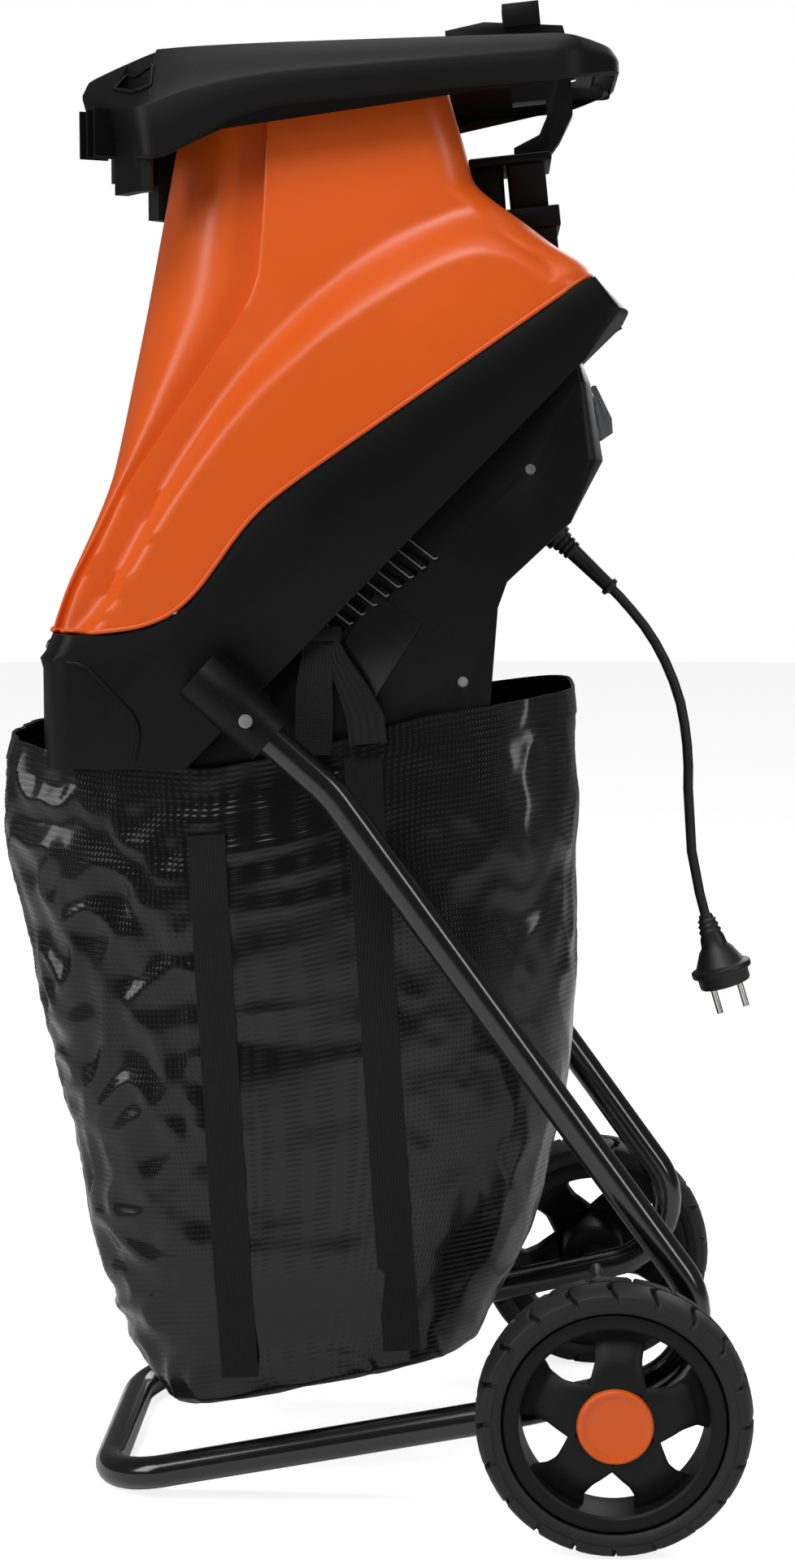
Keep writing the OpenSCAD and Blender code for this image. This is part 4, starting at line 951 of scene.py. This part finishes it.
# %% Wheels in place
cap_profile = [(0, 22.2), (17.6, 22.3), (19.2, 22.6), (21, 23.5), (22.4, 23.95), (23.6, 23.5), (24.5, 22.2),
               (24.9, 20), (24.9, 16.2), (20, 16.2), (0, 16.2)]
axle_x, axle_z, wheel_y = 0.166, 0.090, 0.200
for side, sign in (("left", -1), ("right", 1)):
    turn = (-90 * sign, 0, 0)
    place = (axle_x, sign * wheel_y, axle_z)
    tyre = placed(tyre_mesh(f"tyre_tread_{side}"), place, turn)
    stand_for(tyre, tyre_rubber, "tyre_rubber", f"tyre_{side}")
    rim = placed(rim_mesh(f"rim_moulding_{side}"), place, turn)
    stand_for(rim, satin_plastic, "rim_plastic", f"rim_{side}")
    cap = smooth(turned(f"cap_{side}", [(r * mm, h * mm) for r, h in cap_profile], 64), 40)
    stand_for(placed(cap, place, turn), orange_plastic, "orange_shell", f"hub_cap_{side}")
print("wheels done")


# %% [markdown]
# ## The feed throat
# Under the tray's mouth a chute narrows down to the cutting disc. Its front is rounded like the hood's
# column, so that it fits inside. It is stacked from rings that go from the rounded mouth to the throat's
# square foot.

# %% Throat
mouth_plan = [((44, 90), 12), ((-58, 88), 30), ((-112, 44), 26), ((-112, -44), 26), ((-58, -88), 30),
              ((44, -90), 12)]
disc_at, disc_turn = Vector((-0.030, 0, 0.660)), math.radians(40)
foot_middle, foot_half = Vector((-0.050, 0, 0.024)), (0.033, 0.048)


def throat_rings(inset, reach):
    """Rings from the foot of the throat up to its mouth."""
    mouth = drawn_in(rounded_outline(mouth_plan, 160), inset)
    low = []
    corner_x, corner_y = foot_half[0] - inset * mm, foot_half[1] - inset * mm
    for x, y in mouth:
        share_x = np.clip((x + 34) / 66, -1, 1)
        share_y = np.clip(y / 78, -1, 1)
        at = Vector((foot_middle.x + share_x * corner_x, share_y * corner_y, foot_middle.z - reach))
        turned_x = at.x * math.cos(disc_turn) - at.z * math.sin(disc_turn)
        turned_z = at.x * math.sin(disc_turn) + at.z * math.cos(disc_turn)
        low.append((disc_at.x + turned_x, at.y, disc_at.z + turned_z))
    low = np.array(low)
    high = np.column_stack([mouth * mm, np.full(len(mouth), 0.969 + reach)])
    return np.array([low + (high - low) * t for t in (0, 0.35, 0.7, 0.9, 1)])


throat = stacked("throat_chute", throat_rings(0, 0))
cut_out(throat, stacked("cutter", throat_rings(2.5, 0.001)))
smooth(throat, 35)
stand_for(throat, satin_plastic, "black_shell", "feed_throat")


# %% [markdown]
# ## The collection bag
# A bag sewn from woven tarp. It hangs by two loops near its rim and stands a little baggy, with soft
# round corners, long slanting folds down its sides and hard crumples at its front and bottom corners. A
# grid is wrapped round the bag's outline, and folds are pushed into it by noise of three sizes.

# %% Outline of the bag, in millimetres
bag_front = [(58, -138), (85, -158), (140, -184), (250, -206), (400, -240), (470, -252), (500, -250),
             (525, -241)]
bag_rear = [(90, 72), (120, 88), (170, 112), (260, 138), (330, 144), (440, 143), (480, 145), (552, 139)]
bag_rim = [(-252, 521), (-225, 514), (-165, 505), (-106, 501), (-60, 509), (38, 537), (123, 550), (140, 552)]
bag_half = 126
bag_square = 0.46
wall_share = 0.86
bag_floor, bag_floor_rise = 60, 42
bag_middle = -35


def bag_smooth(turn, s):
    """The bag's surface without folds: turn goes round it from the rear, s up from its bottom edge."""
    across = 0.5 + 0.5 * np.sign(np.cos(turn)) * np.abs(np.cos(turn)) ** bag_square
    side = np.sign(np.sin(turn)) * np.abs(np.sin(turn)) ** bag_square
    low = bag_floor + bag_floor_rise * across
    high = along_line(bag_rim, -250 + 390 * across)
    z = low + (high - low) * s
    front, rear = rounded_line(bag_front, z, 6), rounded_line(bag_rear, z, 6)
    x = front + (rear - front) * across
    half = bag_half - 8 * eased((s - 0.8) / 0.2) - 10 * eased((0.25 - s) / 0.25)
    return x, -half * side, z


def fold(x, y, z):
    """How far the folds push the cloth out, in millimetres."""
    out = []
    for px, py, pz in zip(x, y, z):
        slant = Vector((px / 95 + pz / 150, py / 110, pz / 60 - px / 240))
        broad = noise.noise(slant)
        middle = noise.noise(Vector((px / 34, py / 34, pz / 48)) + Vector((7, 3, 1)))
        sharp = 1 - abs(noise.noise(Vector((px / 22, py / 22, pz / 30)) + Vector((2, 9, 5)))) * 2.4
        edge = float(eased((0.28 * (pz - 60) - px - 120) / 60))
        low = float(eased((150 - pz) / 90))
        crumple = max(edge, low)
        out.append(3.0 * broad + 1.5 * middle + (1.0 + 3.2 * crumple) * (sharp - 0.6))
    return np.array(out)


def bag_place(u, v):
    """The bag as a sheet: up its wall from the bottom edge, or in along its bottom."""
    turn = 2 * math.pi * u
    s = np.clip((v - (1 - wall_share)) / wall_share, 0, 1)
    x, y, z = bag_smooth(turn, s)
    inward = np.clip(1 - v / (1 - wall_share), 0, 1)
    swell = fold(x, y, z)
    reach = np.hypot(x - bag_middle, y)
    grow = 1 + swell / reach * (1 - 0.5 * eased((s - 0.93) / 0.07))
    x, y = bag_middle + (x - bag_middle) * grow, y * grow
    sag = 7 * np.sin(np.clip(inward * 1.2, 0, 1) * math.pi / 2)
    x = x + (bag_middle - x) * inward
    y = y * (1 - inward)
    bottom = bag_floor + bag_floor_rise * (x + 138) / 210
    z = np.where(inward > 0, bottom - sag + 0.5 * swell * (1 - inward), z)
    return x * mm, y * mm, z * mm


# %% The bag's cloth
bag = shaped_grid("bag_cloth", 280, 160, bag_place)
bag.data.uv_layers[0].name = "cloth"
uv_in_metres(bag, (1.16, 0.56))
closed_up(bag, 2e-5)
bag_area = sum(face.area for face in bag.data.polygons)
modify(bag, "SOLIDIFY", thickness=0.0009, offset=1)
smooth(bag, 80)
stand_for(bag, woven_tarp, "woven_tarp", "collection_bag")


def hem_place(u, v):
    """A folded band round the rim, just outside the cloth."""
    x, y, z = bag_place(u, 1 - 0.035 * (1 - v))
    middle_x, proud = bag_middle * mm, 0.0016
    reach = np.hypot(x - middle_x, y)
    return x + (x - middle_x) / reach * proud, y + y / reach * proud, z + 0.0008 * v


hem = shaped_grid("rim_hem", 280, 4, hem_place)
uv_in_metres(hem, (1.16, 0.02))
modify(closed_up(hem, 2e-5), "SOLIDIFY", thickness=0.0008, offset=0)
smooth(hem, 60)
belongs(hem, woven_tarp, "chassis")
print("bag:", len(bag.data.polygons), "faces,", round(bag_area, 3), "square metres")


# %% [markdown]
# ## Straps and loops
# Two straps of ribbed webbing are sewn down each side, and the bag hangs by a webbing loop over a hook on
# each side of the housing. A strap is a narrow grid laid on the bag's own surface, so it takes the same
# folds.

# %% Straps
strap_half = 0.0125


def ribbon(name, centres, sideways):
    """A strap along a list of centres, each with the vector to its edge."""
    count = len(centres)
    centres, sideways = np.array(centres), np.array(sideways)

    def place(u, v):
        at = v * (count - 1)
        index = np.arange(count)
        middle = np.stack([np.interp(at, index, centres[:, k]) for k in range(3)])
        edge = np.stack([np.interp(at, index, sideways[:, k]) for k in range(3)])
        points = middle + edge * (2 * u - 1)
        return points[0], points[1], points[2]

    piece = shaped_grid(name, 6, 4 * (count - 1), place)
    length = np.sum(np.linalg.norm(np.diff(centres, axis=0), axis=1))
    width = 2 * np.linalg.norm(sideways[0])
    uv_in_metres(piece, (width, length))
    modify(piece, "SOLIDIFY", thickness=0.0013, offset=0)
    return smooth(piece, 60)


def on_bag(x, s, sign, proud):
    """A point on the bag's side, just proud of its folds."""
    across = (x + 250 - 60 * (1 - s)) / (390 - 110 * (1 - s))
    for _ in range(8):
        turn = math.acos(np.clip(np.sign(2 * across - 1) * abs(2 * across - 1) ** (1 / bag_square), -1, 1))
        px, py, pz = (float(c[0]) for c in bag_smooth(np.array([turn]), np.array([s])))
        across += (x - px) / 390
    swell = float(fold([px], [py], [pz])[0])
    return px, sign * (abs(py) + max(swell, 0) + proud), pz


strap_lines = [((-104, 0.90), (-84, 0.03)), ((0, 0.965), (26, 0.03))]
parts = []
for sign in (-1, 1):
    for (x_high, s_high), (x_low, s_low) in strap_lines:
        steps = np.linspace(0, 1, 40)
        spots = [on_bag(x_high + (x_low - x_high) * t, s_high + (s_low - s_high) * t, sign, 1.6)
                 for t in steps]
        centres = [(x * mm, y * mm, z * mm) for x, y, z in spots]
        parts.append(ribbon("strap", centres, [(strap_half, 0, 0.0008)] * len(centres)))
stand_for(joined("strap_set", parts), webbing, "webbing", "bag_straps")

# %% Loops over the hooks
hook_x, hook_z = -0.028, 0.590
parts = []
for sign in (-1, 1):
    y_hook, y_bag = sign * 0.1165, sign * 0.1255
    first = [(hook_x - 0.002, y_hook, hook_z + 0.002), (hook_x - 0.002, y_hook + sign * 0.002, 0.575),
             (hook_x - 0.004, y_hook + sign * 0.004, 0.556), (-0.032, y_bag - sign * 0.004, 0.538),
             (-0.033, y_bag - sign * 0.006, 0.512)]
    second = [(hook_x + 0.006, y_hook, hook_z + 0.002), (-0.017, y_hook + sign * 0.004, 0.576),
              (-0.006, y_bag - sign * 0.001, 0.556), (0.002, y_bag, 0.538),
              (0.004, y_bag + sign * 0.003, 0.520)]
    parts.append(ribbon("loop", first, [(0.010, 0, 0), (0.011, 0, 0), (0.012, 0, 0), (0.0125, 0, 0),
                                        (0.0125, 0, 0)]))
    parts.append(ribbon("loop", second, [(0.004, sign * 0.002, 0), (0.007, sign * 0.004, 0.002),
                                         (0.010, sign * 0.003, 0.002), (0.0125, 0, 0.001),
                                         (0.0125, 0, 0.001)]))
stand_for(joined("loop_set", parts), webbing, "webbing", "bag_loops")


# %% [markdown]
# ## Black covers
# The cutter base, the motor housing and the chute guard are moulded in black. Their front corners are
# rounded in plan, so each copy is cut across at several planes and the points near the sides are drawn back.

# %% Rounding the front corners
def cut_across(piece, levels):
    """Cuts a piece with planes of constant y, so that it can be bent there."""
    all_faces(piece)
    for level in levels:
        for side in (-1, 1):
            bpy.ops.mesh.select_all(action="SELECT")
            bpy.ops.mesh.bisect(plane_co=(0, side * level, 0), plane_no=(0, 1, 0))
    bpy.ops.object.mode_set(mode="OBJECT")


def drawn_back(piece, half, front, rear, depth):
    """Draws the front and rear back towards the sides, as a shallow arc with round corners."""
    reach = (0.09, 0.03)
    for vertex in piece.data.vertices:
        aside = min(abs(vertex.co.y) / half, 1)
        arc = 1 - (1 - aside ** 3.2) ** (1 / 2.4)
        vertex.co.x += depth[0] * arc * float(eased((front + reach[0] - vertex.co.x) / reach[0]))
        vertex.co.x -= depth[1] * arc * float(eased((vertex.co.x - rear + reach[1]) / reach[1]))
    piece.data.update()


def rounded_cover(node, name, half, depth, radius):
    """A black cover with arched ends and soft edges."""
    piece = welded_copy(node, name)
    low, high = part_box(node)
    cut_across(piece, [half * share for share in (0.35, 0.55, 0.7, 0.8, 0.88, 0.93, 0.965, 0.985)])
    drawn_back(piece, half, low.x, high.x, depth)
    soft_edged(piece, radius)
    print(f"{name}: {len(piece.data.polygons)} faces")
    return stand_for(piece, black_plastic, "black_shell", node)


rounded_cover("cutter_base", "cutter_base_cover", 0.125, (0.026, 0.014), 0.0022)
rounded_cover("motor_housing", "motor_cover", 0.112, (0.0, 0.012), 0.0020)
rounded_cover("chute_guard", "chute_skirt", 0.112, (0.062, 0.0), 0.0015)

# %% Plain covers that only need soft edges
bracket_line = [(0.069, 0.906), (0.091, 0.906), (0.094, 0.868), (0.090, 0.868), (0.074, 0.884)]
bracket = soft_edged(slab("pusher_bracket", bracket_line, -0.034, 0.034), 0.001)
belongs(bracket, black_plastic, "hopper")
soft_copies = {
    "leg_socket_left": ("socket_casting_left", 0.0018), "leg_socket_right": ("socket_casting_right", 0.0018),
    "pusher_body": ("pusher_blade", 0.0014), "pusher_holder": ("pusher_cup", 0.0010),
    "pusher_grip": ("pusher_arm", 0.0022), "lock_knob": ("locking_knob", 0.0010),
    "switch_flap": ("splash_flap", 0.0006), "rating_plate": ("label_plate", 0.0003),
    "bag_hooks": ("hook_pair", 0.0008),
}
not_black = {"switch_flap": (smoky_clear, "clear_flap"), "rating_plate": (label_film, "label_film")}
for node, (name, radius) in soft_copies.items():
    softened(node, name, radius, *not_black.get(node, (black_plastic, "black_shell")))

# %% [markdown]
# ## The tube frame
# Two legs and a hoop for a foot, bent from round tube and painted gloss black. Each starts as a line with
# round bends and is swept with a round section, so the highlights run cleanly along it.

# %% Bent tubes, in millimetres
tube_radius, leg_y, foot_half_width = 0.011, 150, 115
slope = math.atan((90 - 11) / (166 + 179))
along_foot = Vector((math.cos(slope), math.sin(slope)))
axle_at = Vector((166, 90))


def bent_route(points, radii):
    """A line through points with a round bend of the given radius at each inner one."""
    points = [Vector(p) for p in points]
    route = [points[0]]
    for before, here, after, radius in zip(points, points[1:], points[2:], radii):
        route += bend(before, here, after, radius, 14)
    return route + [points[-1]]


heel, joint = axle_at + 91.8 * along_foot, axle_at - 56 * along_foot
foot_length = 345 / math.cos(slope)
for side, sign in (("left", -1), ("right", 1)):
    corners = [(x, sign * leg_y, z) for x, z in ((-103, 565), (-19, 490), tuple(heel), tuple(joint))]
    route = [point * mm for point in bent_route(corners, (100, 50))]
    leg = smooth(tube(f"leg_{side}", route, tube_radius, rings=28), 40)
    stand_for(leg, frame_paint, "frame_paint", f"leg_tube_{side}")
half_foot = [(56, leg_y), (84, leg_y), (foot_length, foot_half_width)]
corners = [(axle_at.x - back * along_foot.x, y, axle_at.y - back * along_foot.y)
           for back, y in half_foot + [(back, -y) for back, y in reversed(half_foot)]]
route = [point * mm for point in bent_route(corners, (100, 50, 50, 100))]
foot = smooth(tube("foot_hoop", route, tube_radius, rings=28), 40)
stand_for(foot, frame_paint, "frame_paint", "foot_tube")
print("foot, metres long:", round(sum((b - a).length for a, b in zip(route, route[1:])), 3))

# %% [markdown]
# ## Louvres and ridges
# The housing has a row of slanted slots on each side, with a thin fin between them that is coloured light
# grey as a painted highlight, and a dark sheet behind them as painted shade. A moulded ridge runs down the
# lower front of the base. The fins are slim slabs with soft edges, and the ridge is a line swept round.

# %% Louvre fins with a painted highlight, a painted shade sheet and the ridge
vent_from, vent_to, vent_count = (-30, 596), (34, 645), 9
fin_turn, fin_half, fin_thick = 38, 11.5, 1.0
# The fins' light grey colour is a painted highlight: the real fins are black and only catch the light.
fin_painted_highlight = finish("fin_painted_highlight", (0.10, 0.10, 0.102), (0.14, 0.14, 0.143), (0.22, 0.30), relief=0.1)
fins = []
for sign in (-1, 1):
    for i in range(vent_count + 1):
        share = (i - 0.5) / (vent_count - 1)
        x = vent_from[0] + (vent_to[0] - vent_from[0]) * share
        z = vent_from[1] + (vent_to[1] - vent_from[1]) * share
        outline = [(-fin_half, -fin_thick / 2), (fin_half, -fin_thick / 2), (fin_half + 1.5, 2),
                   (fin_half + 0.6, 2.4), (fin_half - 0.6, fin_thick / 2), (-fin_half, fin_thick / 2)]
        fin = slab("fin", [(a * mm, b * mm) for a, b in outline], sign * 0.1100, sign * 0.1136)
        fins.append(placed(fin, (x * mm, 0, z * mm), (0, fin_turn, 0)))
belongs(soft_edged(joined("louvre_fins", fins), 0.00025), fin_painted_highlight, "chassis")
# A dark sheet just inside the housing behind the slots is painted shade, so that the slots look dark.
shade_sheets = [slab("screen", [(-0.048, 0.590), (-0.024, 0.574), (0.058, 0.640), (0.036, 0.666)],
                sign * 0.1060, sign * 0.1072) for sign in (-1, 1)]
belongs(joined("shade_sheet_behind_vents", shade_sheets), satin_plastic, "chassis")
ridge_line = [(-202, -121.5, 574), (-195, -123.8, 573), (-188, -125, 572), (-181, -125, 569),
              (-166, -125, 553), (-153, -125, 540), (-149, -125, 532), (-148, -125, 524), (-151, -125, 508)]
ridges = [tube("ridge", [(x * mm, -sign * y * mm, z * mm) for x, y, z in ridge_line], 0.0016, rings=10)
          for sign in (-1, 1)]
belongs(smooth(joined("base_ridges", ridges), 60), black_plastic, "chassis")


# %% [markdown]
# ## Parts kept from the engineering model
# Shafts, bearings, gears, the motor and the fasteners are right as they are, and only get their finish.

# %% Finishes for the kept parts
kept = {
    zinc_steel: ["socket_screws", "housing_screws", "axle", "axle_clips", "hinge_pin", "lock_screw",
                 "knife_screws"],
    ground_steel: ["armature_bearings", "spindle_bearings", "motor_shaft", "spindle", "knives",
                   "counter_blade", "pinion", "drive_gear", "knife_disc"],
    core_steel: ["stator_core", "armature_core"],
    copper_wire: ["field_coils", "commutator"],
    brass: ["brush_gear"],
    cast_alloy: ["motor_frame", "gear_plate"],
    satin_plastic: ["cooling_fan", "safety_switch", "switch_box", "axle_spacers"],
    nickel: ["plug_pins"],
    green_plastic: ["start_button"],
    red_plastic: ["stop_button"],
}
for material, nodes in kept.items():
    for node in nodes:
        mesh = frame["nodes"][node].data
        mesh.materials.clear()
        mesh.materials.append(material)
shown = [node for node, piece in frame["nodes"].items() if not piece.hide_render]
print("kept parts:", len(shown))

# %% The dressed box
import json

low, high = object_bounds()
print("dressed box, metres:", [round(b - a, 3) for a, b in zip(low, high)])
